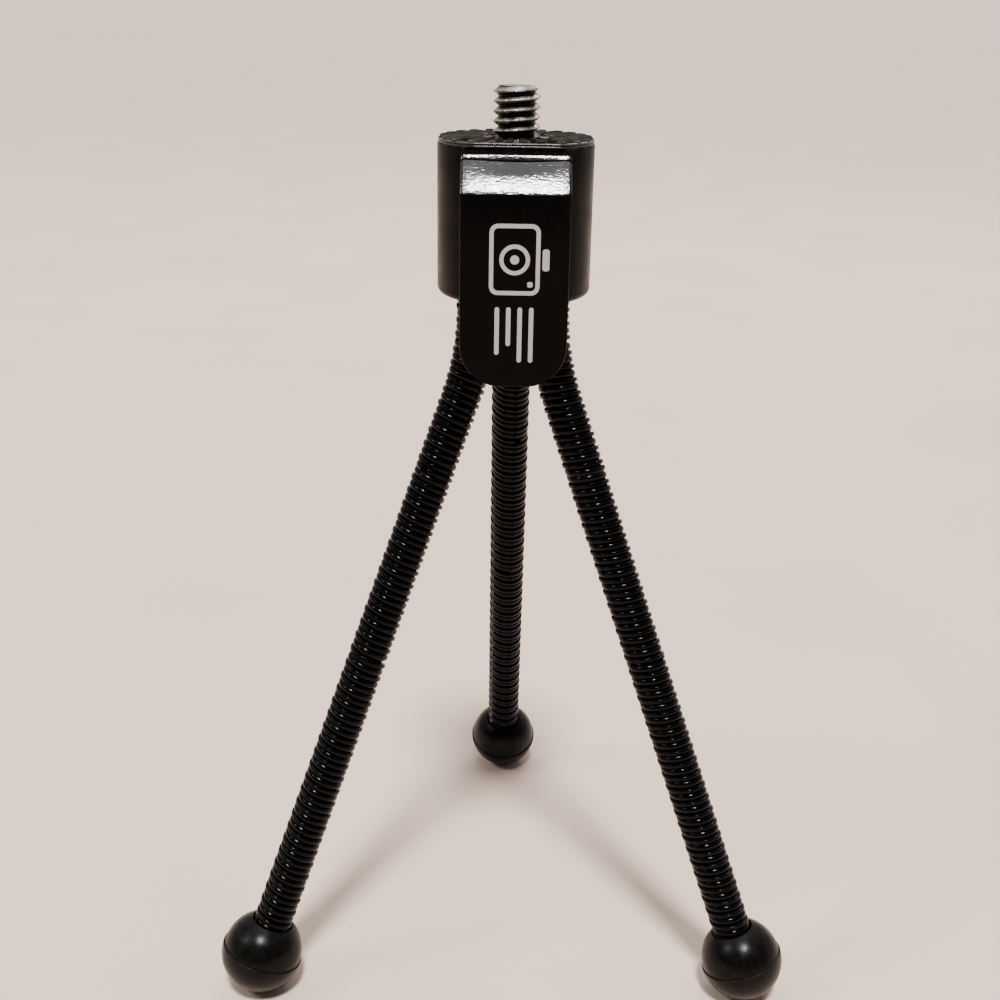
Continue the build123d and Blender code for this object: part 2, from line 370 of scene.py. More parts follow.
STANDARD_GLOSS = 0.5
HEAD_DUST = (0.20, 0.18, 0.165)
FOOT_DUST = (0.06, 0.057, 0.054)
PAD_DUST = (0.20, 0.18, 0.16)
RIM_DUST = (0.10, 0.092, 0.085)
RUBBED_BARREL = (0.016, 0.014, 0.012)
RUBBED_COVER = (0.012, 0.012, 0.012)
RUBBED_WIRE = (0.02, 0.02, 0.019)
RUBBED_STEEL = (0.78, 0.76, 0.73)
# Near-black for the thread: grime and painted shade in the roots, painted shade on the undersides, painted
# shade and dirt on the lowest turns by the pad.
THREAD_GRIME_AND_SHADE = (0.012, 0.010, 0.008)
THIN_INK = (0.22, 0.22, 0.22)
PRESSED_STEEL = (0.46, 0.45, 0.43)
PLATE_BLACK = (0.02, 0.019, 0.018)
FLOOR_SHADE = 0.93


def add_node(tree, kind, place, inputs=None, **settings):
    """New node with its settings, then its inputs as values or as links."""
    made = tree.nodes.new(kind)
    made.location = place
    for key, value in settings.items():
        setattr(made, key, value)
    for key, value in (inputs or {}).items():
        if isinstance(value, bpy.types.NodeSocket):
            tree.links.new(value, made.inputs[key])
        else:
            made.inputs[key].default_value = value
    return made


def maths(tree, operation, first, second, place):
    """Output of a maths node on two values or sockets."""
    return add_node(tree, "ShaderNodeMath", place, {0: first, 1: second},
                    operation=operation).outputs[0]


def new_group(name, inputs, outputs, kind="ShaderNodeTree"):
    """Empty node group with its sockets, its input node and its output node."""
    tree = bpy.data.node_groups.new(name, kind)
    for socket_name, socket_type, default in inputs:
        socket = tree.interface.new_socket(socket_name, in_out="INPUT", socket_type=socket_type)
        if default is not None:
            socket.default_value = default
    for socket_name, socket_type in outputs:
        tree.interface.new_socket(socket_name, in_out="OUTPUT", socket_type=socket_type)
    start = tree.nodes.new("NodeGroupInput")
    start.location = (-900, 0)
    end = tree.nodes.new("NodeGroupOutput")
    end.location = (900, 0)
    return tree, start, end


def grain_group():
    """Fine moulded or sprayed grain: a height, and a roughness that wanders."""
    existing = bpy.data.node_groups.get("surface_grain")
    if existing:
        return existing
    tree, start, end = new_group(
        "surface_grain",
        [("Scale", "NodeSocketFloat", 3000.0), ("Blotch Scale", "NodeSocketFloat", 300.0),
         ("Smooth", "NodeSocketFloat", 0.3), ("Rough", "NodeSocketFloat", 0.5)],
        [("Height", "NodeSocketFloat"), ("Roughness", "NodeSocketFloat")])
    place = add_node(tree, "ShaderNodeTexCoord", (-900, 300))
    fine = add_node(tree, "ShaderNodeTexNoise", (-500, 300),
                    {"Vector": place.outputs["Object"], "Scale": start.outputs["Scale"],
                     "Detail": 2.0, "Roughness": 0.6})
    blotch = add_node(tree, "ShaderNodeTexNoise", (-500, 0),
                      {"Vector": place.outputs["Object"], "Scale": start.outputs["Blotch Scale"],
                       "Detail": 4.0, "Roughness": 0.55})
    spread = add_node(tree, "ShaderNodeMapRange", (-100, 0),
                      {"Value": blotch.outputs["Fac"], "From Min": 0.32, "From Max": 0.68,
                       "To Min": start.outputs["Smooth"], "To Max": start.outputs["Rough"]})
    tree.links.new(fine.outputs["Fac"], end.inputs["Height"])
    tree.links.new(spread.outputs["Result"], end.inputs["Roughness"])
    return tree


def dust_group():
    """Mask of dust that settles on what faces up, in patches."""
    existing = bpy.data.node_groups.get("settled_dust")
    if existing:
        return existing
    tree, start, end = new_group(
        "settled_dust",
        [("Scale", "NodeSocketFloat", 400.0), ("Amount", "NodeSocketFloat", 0.5),
         ("Everywhere", "NodeSocketFloat", 0.1)],
        [("Mask", "NodeSocketFloat")])
    place = add_node(tree, "ShaderNodeTexCoord", (-900, 300))
    patches = add_node(tree, "ShaderNodeTexNoise", (-600, 300),
                       {"Vector": place.outputs["Object"], "Scale": start.outputs["Scale"],
                        "Detail": 6.0, "Roughness": 0.7})
    shown = add_node(tree, "ShaderNodeMapRange", (-300, 300),
                     {"Value": patches.outputs["Fac"], "From Min": 0.40, "From Max": 0.66})
    face = add_node(tree, "ShaderNodeNewGeometry", (-900, -200))
    parts = add_node(tree, "ShaderNodeSeparateXYZ", (-600, -200), {"Vector": face.outputs["Normal"]})
    upward = add_node(tree, "ShaderNodeMapRange", (-300, -200),
                      {"Value": parts.outputs["Z"], "From Min": 0.1, "From Max": 0.95,
                       "To Min": start.outputs["Everywhere"], "To Max": 1.0})
    both = add_node(tree, "ShaderNodeMath", (0, 100),
                    {0: shown.outputs["Result"], 1: upward.outputs["Result"]}, operation="MULTIPLY")
    scaled = add_node(tree, "ShaderNodeMath", (300, 100),
                      {0: both.outputs[0], 1: start.outputs["Amount"]},
                      operation="MULTIPLY", use_clamp=True)
    tree.links.new(scaled.outputs[0], end.inputs["Mask"])
    return tree


def scuff_group():
    """Mask of sparse fine rubbing marks, drawn out along the vertical."""
    existing = bpy.data.node_groups.get("handling_scuffs")
    if existing:
        return existing
    tree, start, end = new_group(
        "handling_scuffs",
        [("Scale", "NodeSocketFloat", 500.0), ("Amount", "NodeSocketFloat", 0.3)],
        [("Mask", "NodeSocketFloat")])
    place = add_node(tree, "ShaderNodeTexCoord", (-900, 200))
    drawn = add_node(tree, "ShaderNodeMapping", (-650, 200),
                     {"Vector": place.outputs["Object"], "Rotation": (0.25, 0.35, 0.0),
                      "Scale": (1.0, 1.0, 0.12)})
    lines = add_node(tree, "ShaderNodeTexNoise", (-350, 200),
                     {"Vector": drawn.outputs["Vector"], "Scale": start.outputs["Scale"],
                      "Detail": 5.0, "Roughness": 0.75})
    thin = add_node(tree, "ShaderNodeMapRange", (0, 200),
                    {"Value": lines.outputs["Fac"], "From Min": 0.62, "From Max": 0.74,
                     "To Min": 0.0, "To Max": start.outputs["Amount"]})
    tree.links.new(thin.outputs["Result"], end.inputs["Mask"])
    return tree


def use_group(tree, group, place, **values):
    """Places a node group and sets its inputs, named in lower case with underscores."""
    made = tree.nodes.new("ShaderNodeGroup")
    made.node_tree = group
    made.location = place
    for key, value in values.items():
        made.inputs[key.replace("_", " ").title()].default_value = value
    return made


def start_material(name):
    """New material with its node tree and its shader."""
    material = bpy.data.materials.new(name)
    material.use_nodes = True
    tree = material.node_tree
    return material, tree, tree.nodes["Principled BSDF"]


def mix_colour(tree, place, mask, first, second):
    """Colour mix; each side is a colour or a socket."""
    mixed = add_node(tree, "ShaderNodeMix", place, data_type="RGBA")
    for index, value in ((6, first), (7, second)):
        if isinstance(value, bpy.types.NodeSocket):
            tree.links.new(value, mixed.inputs[index])
        else:
            mixed.inputs[index].default_value = (*value, 1.0)
    tree.links.new(mask, mixed.inputs[0])
    return mixed.outputs[2]


def connect_surface(tree, shader, base, grain, bump, depth, gloss=STANDARD_GLOSS, height=None):
    """Joins colour, roughness, gloss and bump to a material's own shader."""
    tree.links.new(base, shader.inputs["Base Color"])
    tree.links.new(grain.outputs["Roughness"], shader.inputs["Roughness"])
    shader.inputs["Specular IOR Level"].default_value = gloss
    raised = add_node(tree, "ShaderNodeBump", (-300, -400),
                      {"Strength": bump, "Distance": depth,
                       "Height": height or grain.outputs["Height"]})
    tree.links.new(raised.outputs["Normal"], shader.inputs["Normal"])


def moulded_plastic(name, colour, smooth, rough, grain_scale, grain_depth, dust, scuffs):
    """Black moulded plastic with a fine skin, faint scuffs and some dust."""
    material, tree, shader = start_material(name)
    grain = use_group(tree, grain_group(), (-900, 0), scale=grain_scale, blotch_scale=260.0,
                      smooth=smooth, rough=rough)
    settled = use_group(tree, dust_group(), (-900, 300), scale=700.0, amount=dust, everywhere=0.03)
    rubbed = use_group(tree, scuff_group(), (-900, 550), scale=420.0, amount=scuffs)
    marked = mix_colour(tree, (-600, 500), rubbed.outputs["Mask"], colour, RUBBED_BARREL)
    dusty = mix_colour(tree, (-300, 400), settled.outputs["Mask"], marked, HEAD_DUST)
    connect_surface(tree, shader, dusty, grain, bump=0.5, depth=grain_depth, gloss=0.05)
    return material


def foot_rubber(colour):
    """Black rubber with a soft sheen and very little dust."""
    material, tree, shader = start_material("foot_rubber")
    grain = use_group(tree, grain_group(), (-900, 0), scale=2600.0, blotch_scale=380.0,
                      smooth=0.24, rough=0.38)
    settled = use_group(tree, dust_group(), (-900, 300), scale=900.0, amount=0.10, everywhere=0.2)
    dusty = mix_colour(tree, (-300, 300), settled.outputs["Mask"], colour, FOOT_DUST)
    connect_surface(tree, shader, dusty, grain, bump=0.35, depth=0.00003, gloss=0.115)
    return material


def pad_rubber(colour):
    """Dusty rubber: clean black ridge tops, grey dust between them."""
    material, tree, shader = start_material("pad_rubber")
    grain = use_group(tree, grain_group(), (-1200, 0), scale=2200.0, blotch_scale=500.0,
                      smooth=0.55, rough=0.85)
    settled = use_group(tree, dust_group(), (-1200, 300), scale=520.0, amount=1.0, everywhere=0.2)
    crown = add_node(tree, "ShaderNodeAttribute", (-1200, 600), attribute_name="crown")
    left = add_node(tree, "ShaderNodeMapRange", (-750, 700),
                    {"Value": crown.outputs["Fac"], "To Min": 1.0, "To Max": 0.02})
    dust = add_node(tree, "ShaderNodeMath", (-550, 500),
                    {0: settled.outputs["Mask"], 1: left.outputs["Result"]}, operation="MULTIPLY")
    dusty = mix_colour(tree, (-300, 300), dust.outputs[0], colour, PAD_DUST)
    connect_surface(tree, shader, dusty, grain, bump=0.6, depth=0.00004, gloss=0.12)
    return material


def rim_rubber(colour):
    """Smooth glossy rubber of the pad's beaded edge."""
    material, tree, shader = start_material("pad_rim_rubber")
    grain = use_group(tree, grain_group(), (-900, 0), scale=1500.0, blotch_scale=700.0,
                      smooth=0.22, rough=0.36)
    settled = use_group(tree, dust_group(), (-900, 300), scale=900.0, amount=0.3, everywhere=0.5)
    dusty = mix_colour(tree, (-300, 300), settled.outputs["Mask"], colour, RIM_DUST)
    connect_surface(tree, shader, dusty, grain, bump=0.4, depth=0.00004)
    return material


def wire_black(colour):
    """Blackened spring steel, smooth, with sparse bright rubbing marks."""
    material, tree, shader = start_material("wire_black")
    grain = use_group(tree, grain_group(), (-900, 0), scale=4200.0, blotch_scale=420.0,
                      smooth=0.10, rough=0.24)
    rubbed = use_group(tree, scuff_group(), (-900, 350), scale=900.0, amount=0.3)
    marked = mix_colour(tree, (-300, 300), rubbed.outputs["Mask"], colour, RUBBED_WIRE)
    connect_surface(tree, shader, marked, grain, bump=0.3, depth=0.000012, gloss=0.10)
    return material


def worn_steel(colour, name="worn_steel", by_crest=True):
    """Plated steel, bright on the crests; its colour goes near-black by the crest attribute: grime and
    painted shade in the roots, painted shade on the undersides.
    """
    material, tree, shader = start_material(name)
    shader.inputs["Metallic"].default_value = 1.0
    grain = use_group(tree, grain_group(), (-900, 0), scale=3000.0, blotch_scale=900.0,
                      smooth=0.16, rough=0.46)
    rubbed = use_group(tree, scuff_group(), (-900, 350), scale=800.0, amount=0.6)
    marked = mix_colour(tree, (-600, 300), rubbed.outputs["Mask"], colour, RUBBED_STEEL)
    if by_crest:
        # Painted shade and grime: the crest attribute mixes the colour towards near-black in the roots, on
        # the undersides and near the pad.
        crest = add_node(tree, "ShaderNodeAttribute", (-900, 650), attribute_name="crest")
        lit_and_clean = add_node(tree, "ShaderNodeMapRange", (-600, 650),
                         {"Value": crest.outputs["Fac"], "From Min": 0.10, "From Max": 0.75})
        marked = mix_colour(tree, (-300, 500), lit_and_clean.outputs["Result"], THREAD_GRIME_AND_SHADE, marked)
    connect_surface(tree, shader, marked, grain, bump=0.4, depth=0.00002)
    return material


def print_ink(colour):
    """Pad-printed ink, thin and a little patchy."""
    material, tree, shader = start_material("print_ink")
    grain = use_group(tree, grain_group(), (-900, 0), scale=5200.0, blotch_scale=1500.0,
                      smooth=0.45, rough=0.7)
    rubbed = use_group(tree, scuff_group(), (-900, 350), scale=1600.0, amount=0.5)
    worn = mix_colour(tree, (-300, 300), rubbed.outputs["Mask"], colour, THIN_INK)
    connect_surface(tree, shader, worn, grain, bump=0.3, depth=0.00001)
    return material


def cover_plastic(name, colour, gloss, smooth, rough, pebble_share, pebble_depth):
    """Black plastic of the front cover, with a pebbled skin drawn out sideways."""
    material, tree, shader = start_material(name)
    place = add_node(tree, "ShaderNodeTexCoord", (-1500, -300))
    drawn = add_node(tree, "ShaderNodeMapping", (-1300, -300),
                     {"Vector": place.outputs["Object"], "Scale": (1.0, 2.6, 2.6)})
    pebble = add_node(tree, "ShaderNodeTexNoise", (-1050, -300),
                      {"Vector": drawn.outputs["Vector"], "Scale": 1300.0, "Detail": 1.5,
                       "Roughness": 0.5})
    grain = use_group(tree, grain_group(), (-900, 0), scale=3600.0, blotch_scale=500.0,
                      smooth=smooth, rough=rough)
    rubbed = use_group(tree, scuff_group(), (-900, 350), scale=700.0, amount=0.25)
    marked = mix_colour(tree, (-300, 300), rubbed.outputs["Mask"], colour, RUBBED_COVER)
    connect_surface(tree, shader, marked, grain, bump=pebble_share, depth=pebble_depth, gloss=gloss,
                    height=pebble.outputs["Fac"])
    return material


def floor_cloth(colour):
    """Pale matt floor with faint, wide clouds."""
    material, tree, shader = start_material("pale_floor")
    grain = use_group(tree, grain_group(), (-900, 0), scale=900.0, blotch_scale=9.0,
                      smooth=0.85, rough=1.0)
    place = add_node(tree, "ShaderNodeTexCoord", (-900, 400))
    cloud = add_node(tree, "ShaderNodeTexNoise", (-650, 400),
                     {"Vector": place.outputs["Object"], "Scale": 14.0, "Detail": 3.0})
    soft = add_node(tree, "ShaderNodeMapRange", (-400, 400),
                    {"Value": cloud.outputs["Fac"], "From Min": 0.3, "From Max": 0.7})
    darker = tuple(channel * FLOOR_SHADE for channel in colour)
    blended = mix_colour(tree, (-200, 300), soft.outputs["Result"], darker, colour)
    tree.links.new(blended, shader.inputs["Base Color"])
    tree.links.new(grain.outputs["Roughness"], shader.inputs["Roughness"])
    return material


# ---------------------------------------------------------------------------
# Goosenecks: two wires wound round each leg's line
# ---------------------------------------------------------------------------

# The wedge wire's profile is turned so that its wide side faces outwards.
WEDGE_TURN = -math.pi / 2
# The path starts this far inside the head, above the lowest point of any wire.
PATH_LEAD_IN = 12 * MM
PATH_BEND_STEPS = 48
LEG_IN_HEAD = 7.5 * MM
LEG_IN_FOOT = 2.6 * MM
# Half the length of leg round each hinge, from the head down.
BEND_REACH = (3.6 * MM, 4.5 * MM, 9 * MM, 9 * MM)


def gooseneck_tree():
    """Winds a round wire and a wedge wire, then bends them along a path curve."""
    existing = bpy.data.node_groups.get("gooseneck")
    if existing:
        return existing
    tree, start, end = new_group(
        "gooseneck",
        [("Geometry", "NodeSocketGeometry", None), ("From", "NodeSocketFloat", 0.0),
         ("To", "NodeSocketFloat", 0.02), ("Lead", "NodeSocketFloat", 0.002),
         ("Outer Radius", "NodeSocketFloat", 0.0029), ("Round Wire", "NodeSocketFloat", 0.0005),
         ("Wedge Width", "NodeSocketFloat", 0.0011), ("Wedge Depth", "NodeSocketFloat", 0.0009),
         ("Steps", "NodeSocketInt", 24), ("Side", "NodeSocketVector", (1.0, 0.0, 0.0)),
         ("Material", "NodeSocketMaterial", None)],
        [("Geometry", "NodeSocketGeometry")], kind="GeometryNodeTree")

    inlet = start.outputs
    length = maths(tree, "SUBTRACT", inlet["To"], inlet["From"], (-700, 500))
    turns = maths(tree, "DIVIDE", length, inlet["Lead"], (-550, 500))
    turned_before = maths(tree, "DIVIDE", inlet["From"], inlet["Lead"], (-700, 300))
    phase = maths(tree, "MULTIPLY", turned_before, 2 * math.pi, (-550, 300))
    half_turn = maths(tree, "ADD", phase, math.pi, (-400, 200))
    proud = maths(tree, "MULTIPLY", inlet["Round Wire"], 1.12, (-700, 0))
    round_centre = maths(tree, "SUBTRACT", inlet["Outer Radius"], proud, (-550, 0))
    half_depth = maths(tree, "MULTIPLY", inlet["Wedge Depth"], 0.5, (-700, -200))
    wedge_centre = maths(tree, "SUBTRACT", inlet["Outer Radius"], half_depth, (-550, -200))
    inner_width = maths(tree, "MULTIPLY", inlet["Wedge Width"], 0.35, (-700, -400))

    round_profile = add_node(tree, "GeometryNodeCurvePrimitiveCircle", (-350, -100),
                             {"Resolution": 12, "Radius": inlet["Round Wire"]})
    wedge_shape = add_node(tree, "GeometryNodeCurvePrimitiveQuadrilateral", (-350, -350),
                           {"Height": inlet["Wedge Depth"], "Bottom Width": inner_width,
                            "Top Width": inlet["Wedge Width"], "Offset": 0.0}, mode="TRAPEZOID")
    wedge_rounded = add_node(tree, "GeometryNodeFilletCurve", (-150, -350),
                             {"Curve": wedge_shape.outputs["Curve"], "Count": 2,
                              "Radius": 0.00009, "Limit Radius": True}, mode="POLY")
    wedge_profile = add_node(tree, "GeometryNodeTransform", (50, -350),
                             {"Geometry": wedge_rounded.outputs["Curve"],
                              "Rotation": (0.0, 0.0, WEDGE_TURN)})

    def wound(radius, angle, profile, place):
        """One wire, straight along Z from its own start length."""
        coil = add_node(tree, "GeometryNodeCurveSpiral", place,
                        {"Resolution": inlet["Steps"], "Rotations": turns,
                         "Start Radius": radius, "End Radius": radius, "Height": length})
        upright = add_node(tree, "GeometryNodeSetCurveNormal", (place[0] + 150, place[1]),
                           {"Curve": coil.outputs["Curve"]}, mode="Z_UP")
        turn = add_node(tree, "ShaderNodeCombineXYZ", (place[0], place[1] - 200), {"Z": angle})
        lift = add_node(tree, "ShaderNodeCombineXYZ", (place[0], place[1] - 350),
                        {"Z": inlet["From"]})
        solid = add_node(tree, "GeometryNodeCurveToMesh", (place[0] + 300, place[1]),
                         {"Curve": upright.outputs["Curve"], "Profile Curve": profile,
                          "Fill Caps": True})
        return add_node(tree, "GeometryNodeTransform", (place[0] + 450, place[1]),
                        {"Geometry": solid.outputs["Mesh"], "Rotation": turn.outputs["Vector"],
                         "Translation": lift.outputs["Vector"]}).outputs["Geometry"]

    round_wire = wound(round_centre, phase, round_profile.outputs["Curve"], (100, 400))
    wedge_wire = wound(wedge_centre, half_turn, wedge_profile.outputs["Geometry"], (100, -100))
    both = add_node(tree, "GeometryNodeJoinGeometry", (650, 200))
    tree.links.new(round_wire, both.inputs["Geometry"])
    tree.links.new(wedge_wire, both.inputs["Geometry"])

    position = add_node(tree, "GeometryNodeInputPosition", (300, 700))
    parts = add_node(tree, "ShaderNodeSeparateXYZ", (450, 700),
                     {"Vector": position.outputs["Position"]})
    lead_in = maths(tree, "ADD", parts.outputs["Z"], PATH_LEAD_IN, (520, 800))
    on_path = add_node(tree, "GeometryNodeSampleCurve", (600, 700),
                       {"Curves": inlet["Geometry"], "Length": lead_in}, mode="LENGTH")
    across = add_node(tree, "ShaderNodeVectorMath", (750, 600),
                      {0: on_path.outputs["Tangent"], 1: inlet["Side"]}, operation="CROSS_PRODUCT")
    sideways = add_node(tree, "ShaderNodeVectorMath", (750, 800),
                        {0: inlet["Side"], "Scale": parts.outputs["X"]}, operation="SCALE")
    outwards = add_node(tree, "ShaderNodeVectorMath", (900, 600),
                        {0: across.outputs["Vector"], "Scale": parts.outputs["Y"]},
                        operation="SCALE")
    offset = add_node(tree, "ShaderNodeVectorMath", (1050, 700),
                      {0: sideways.outputs["Vector"], 1: outwards.outputs["Vector"]},
                      operation="ADD")
    target = add_node(tree, "ShaderNodeVectorMath", (1200, 700),
                      {0: on_path.outputs["Position"], 1: offset.outputs["Vector"]},
                      operation="ADD")
    bent = add_node(tree, "GeometryNodeSetPosition", (1350, 300),
                    {"Geometry": both.outputs["Geometry"], "Position": target.outputs["Vector"]})
    smooth = add_node(tree, "GeometryNodeSetShadeSmooth", (1500, 300),
                      {"Geometry": bent.outputs["Geometry"]})
    real = add_node(tree, "GeometryNodeRealizeInstances", (1650, 300),
                    {"Geometry": smooth.outputs["Geometry"]})
    painted = add_node(tree, "GeometryNodeSetMaterial", (1800, 300),
                       {"Geometry": real.outputs["Geometry"], "Material": inlet["Material"]})
    tree.links.new(painted.outputs["Geometry"], end.inputs["Geometry"])
    end.location = (2000, 300)
    return tree


def set_input(modifier, name, value):
    """Sets a modifier's input by the identifier of the socket with that name."""
    for item in modifier.node_group.interface.items_tree:
        if item.item_type == "SOCKET" and item.in_out == "INPUT" and item.name == name:
            modifier[item.identifier] = value
            return
    raise KeyError(name)


def evaluated_mesh(obj, name):
    """Plain mesh of an object as its modifiers leave it."""
    graph = bpy.context.evaluated_depsgraph_get()
    mesh = bpy.data.meshes.new_from_object(
        obj.evaluated_get(graph), preserve_all_data_layers=True, depsgraph=graph)
    mesh.name = name
    return mesh


def path_curve(line):
    """Poly curve down a leg, starting inside the head."""
    curve = bpy.data.curves.new("leg_path", "CURVE")
    curve.dimensions = "3D"
    lengths = [-PATH_LEAD_IN, -PATH_LEAD_IN / 2, -1 * MM]
    lengths += [line.bend_length * i / PATH_BEND_STEPS for i in range(PATH_BEND_STEPS + 1)]
    lengths += [line.bend_length + 2 * MM, (line.bend_length + line.length) / 2, line.length]
    spline = curve.splines.new("POLY")
    spline.points.add(len(lengths) - 1)
    for point, s in zip(spline.points, lengths):
        point.co = (*line.at(s), 1.0)
    return link(bpy.data.objects.new("leg_path", curve))


def grown_mesh(holder, tree, inputs, name):
    """Runs a node tree on a holder object and keeps only the plain mesh it makes."""
    modifier = holder.modifiers.new(tree.name, "NODES")
    modifier.node_group = tree
    for key, value in inputs.items():
        set_input(modifier, key, value)
    mesh = evaluated_mesh(holder, name)
    bpy.data.objects.remove(holder)
    if not mesh.polygons:
        raise RuntimeError(f"{name} came out empty")
    return mesh


class TRIPOD_OT_goosenecks(bpy.types.Operator):
    """Wind the three gooseneck legs"""

    bl_idname = "tripod.goosenecks"
    bl_label = "Goosenecks"

    def execute(self, context):
        settings = context.scene.tripod_legs
        material = wire_black(settings.colour)
        for leg in LEGS:
            line = LegLine(leg)
            stations = line.stations
            cuts = [-LEG_IN_HEAD]
            cuts += [(a + b) / 2 for a, b in zip(stations, stations[1:])]
            cuts += [line.length - LEG_IN_FOOT]
            bodies = ["head", f"{leg}_upper", f"{leg}_sway", f"{leg}_middle", f"{leg}_lower"]
            replaced = [
                (f"{leg}_leg_root", f"{leg}_root_bend", f"{leg}_leg_upper"),
                (f"{leg}_sway_bend", f"{leg}_leg_sway"),
                (f"{leg}_middle_bend", f"{leg}_leg_middle"),
                (f"{leg}_lower_bend", f"{leg}_leg_lower"),
            ]
            for index, (station, reach) in enumerate(zip(stations, BEND_REACH)):
                name = f"{leg}_gooseneck_{index + 1}"
                mesh = grown_mesh(path_curve(line), gooseneck_tree(), {
                    "From": cuts[index],
                    "To": cuts[index + 1],
                    "Lead": settings.lead,
                    "Outer Radius": settings.outer_radius,
                    "Round Wire": settings.round_wire,
                    "Wedge Width": settings.wedge_width,
                    "Wedge Depth": settings.wedge_depth,
                    "Steps": settings.steps,
                    "Side": tuple(line.side),
                    "Material": material,
                }, name)
                finish_piece(name, mesh, material,
                             (bodies[index], bodies[index + 1]), replaced[index],
                             blend_line=(line.at(station - reach), line.at(station + reach)))
        return {"FINISHED"}


# ---------------------------------------------------------------------------
# Rubber ball feet
# ---------------------------------------------------------------------------

FOOT_SEGMENTS = 96
UPPER_STEPS = 26
LOWER_STEPS = 30
MOUTH_R = 3.0 * MM
MOUTH_DEPTH = 3.0 * MM
MOUTH_LIP = 0.25 * MM
# Degrees that the upper half keeps clear of the mouth's lip and of the mould step.
CLEAR_OF_LIP = 2


def foot_profile(lower_r, upper_r):
    """Half section of a ball foot, from the floor of its mouth round to its lowest point."""
    mouth_angle = math.degrees(math.asin((MOUTH_R + MOUTH_LIP) / upper_r))
    top = upper_r * math.cos(math.radians(mouth_angle))
    profile = [(0.0, -top + MOUTH_DEPTH), (MOUTH_R, -top + MOUTH_DEPTH)]
    profile += [(MOUTH_R + MOUTH_LIP - MOUTH_LIP * math.cos(a),
                 -top + 0.15 * MM - MOUTH_LIP * math.sin(a))
                for a in (0.0, math.pi / 8, math.pi / 4, 3 * math.pi / 8)]
    last_angle = 90 - CLEAR_OF_LIP
    for i in range(UPPER_STEPS + 1):
        angle = math.radians(mouth_angle + CLEAR_OF_LIP
                             + (last_angle - mouth_angle - CLEAR_OF_LIP) * i / UPPER_STEPS)
        profile.append((upper_r * math.sin(angle), -upper_r * math.cos(angle)))
    profile += [(upper_r - 0.01 * MM, -0.06 * MM), (upper_r + 0.05 * MM, -0.03 * MM),
                (lower_r - 0.05 * MM, 0.0), (lower_r, 0.05 * MM)]
    for i in range(1, LOWER_STEPS + 1):
        angle = math.radians(90 + 90 * i / LOWER_STEPS)
        profile.append((max(lower_r * math.sin(angle), 0.0), -lower_r * math.cos(angle)))
    profile[-1] = (0.0, lower_r)
    return profile


class TRIPOD_OT_feet(bpy.types.Operator):
    """Make the rubber ball feet"""

    bl_idname = "tripod.feet"
    bl_label = "Ball feet"

    def execute(self, context):
        settings = context.scene.tripod_feet
        material = foot_rubber(settings.colour)
        profile = foot_profile(FOOT_R, FOOT_R - settings.step)
        for leg in LEGS:
            line = LegLine(leg)
            bm = bmesh.new()
            turned(bm, profile, line.foot, line.run, line.side, FOOT_SEGMENTS)
            mesh = mesh_from(bm, f"{leg}_ball_foot")
            finish_piece(f"{leg}_ball_foot", mesh, material,
                         (f"{leg}_lower",), (f"{leg}_foot",))
        return {"FINISHED"}


# ---------------------------------------------------------------------------
# Barrel
# ---------------------------------------------------------------------------

EDGE_STEPS = 6
SOCKET_SEGMENTS = 48


def flat_outline(radius, flat, inset=0.0, arc_steps=120, flat_steps=12):
    """Circle with its front cut straight, drawn from the right corner round the back."""
    radius -= inset
    flat -= inset
    half = math.acos(flat / radius)
    points = []
    for i in range(arc_steps + 1):
        angle = -math.pi / 2 + half + (2 * math.pi - 2 * half) * i / arc_steps
        points.append((radius * math.cos(angle), radius * math.sin(angle)))
    left, right = points[-1], points[0]
    for i in range(1, flat_steps):
        t = i / flat_steps
        points.append((left[0] + (right[0] - left[0]) * t, -flat))
    return points


def ring_at(outline, z):
    """A flat outline round the head's axis, lifted to a height."""
    return [head_point(x, y, z) for x, y in outline]


def loop_edges(loop):
    """Edges of a closed loop of vertices."""
    return [next(edge for edge in a.link_edges if edge.other_vert(a) is b)
            for a, b in zip(loop, loop[1:] + loop[:1])]


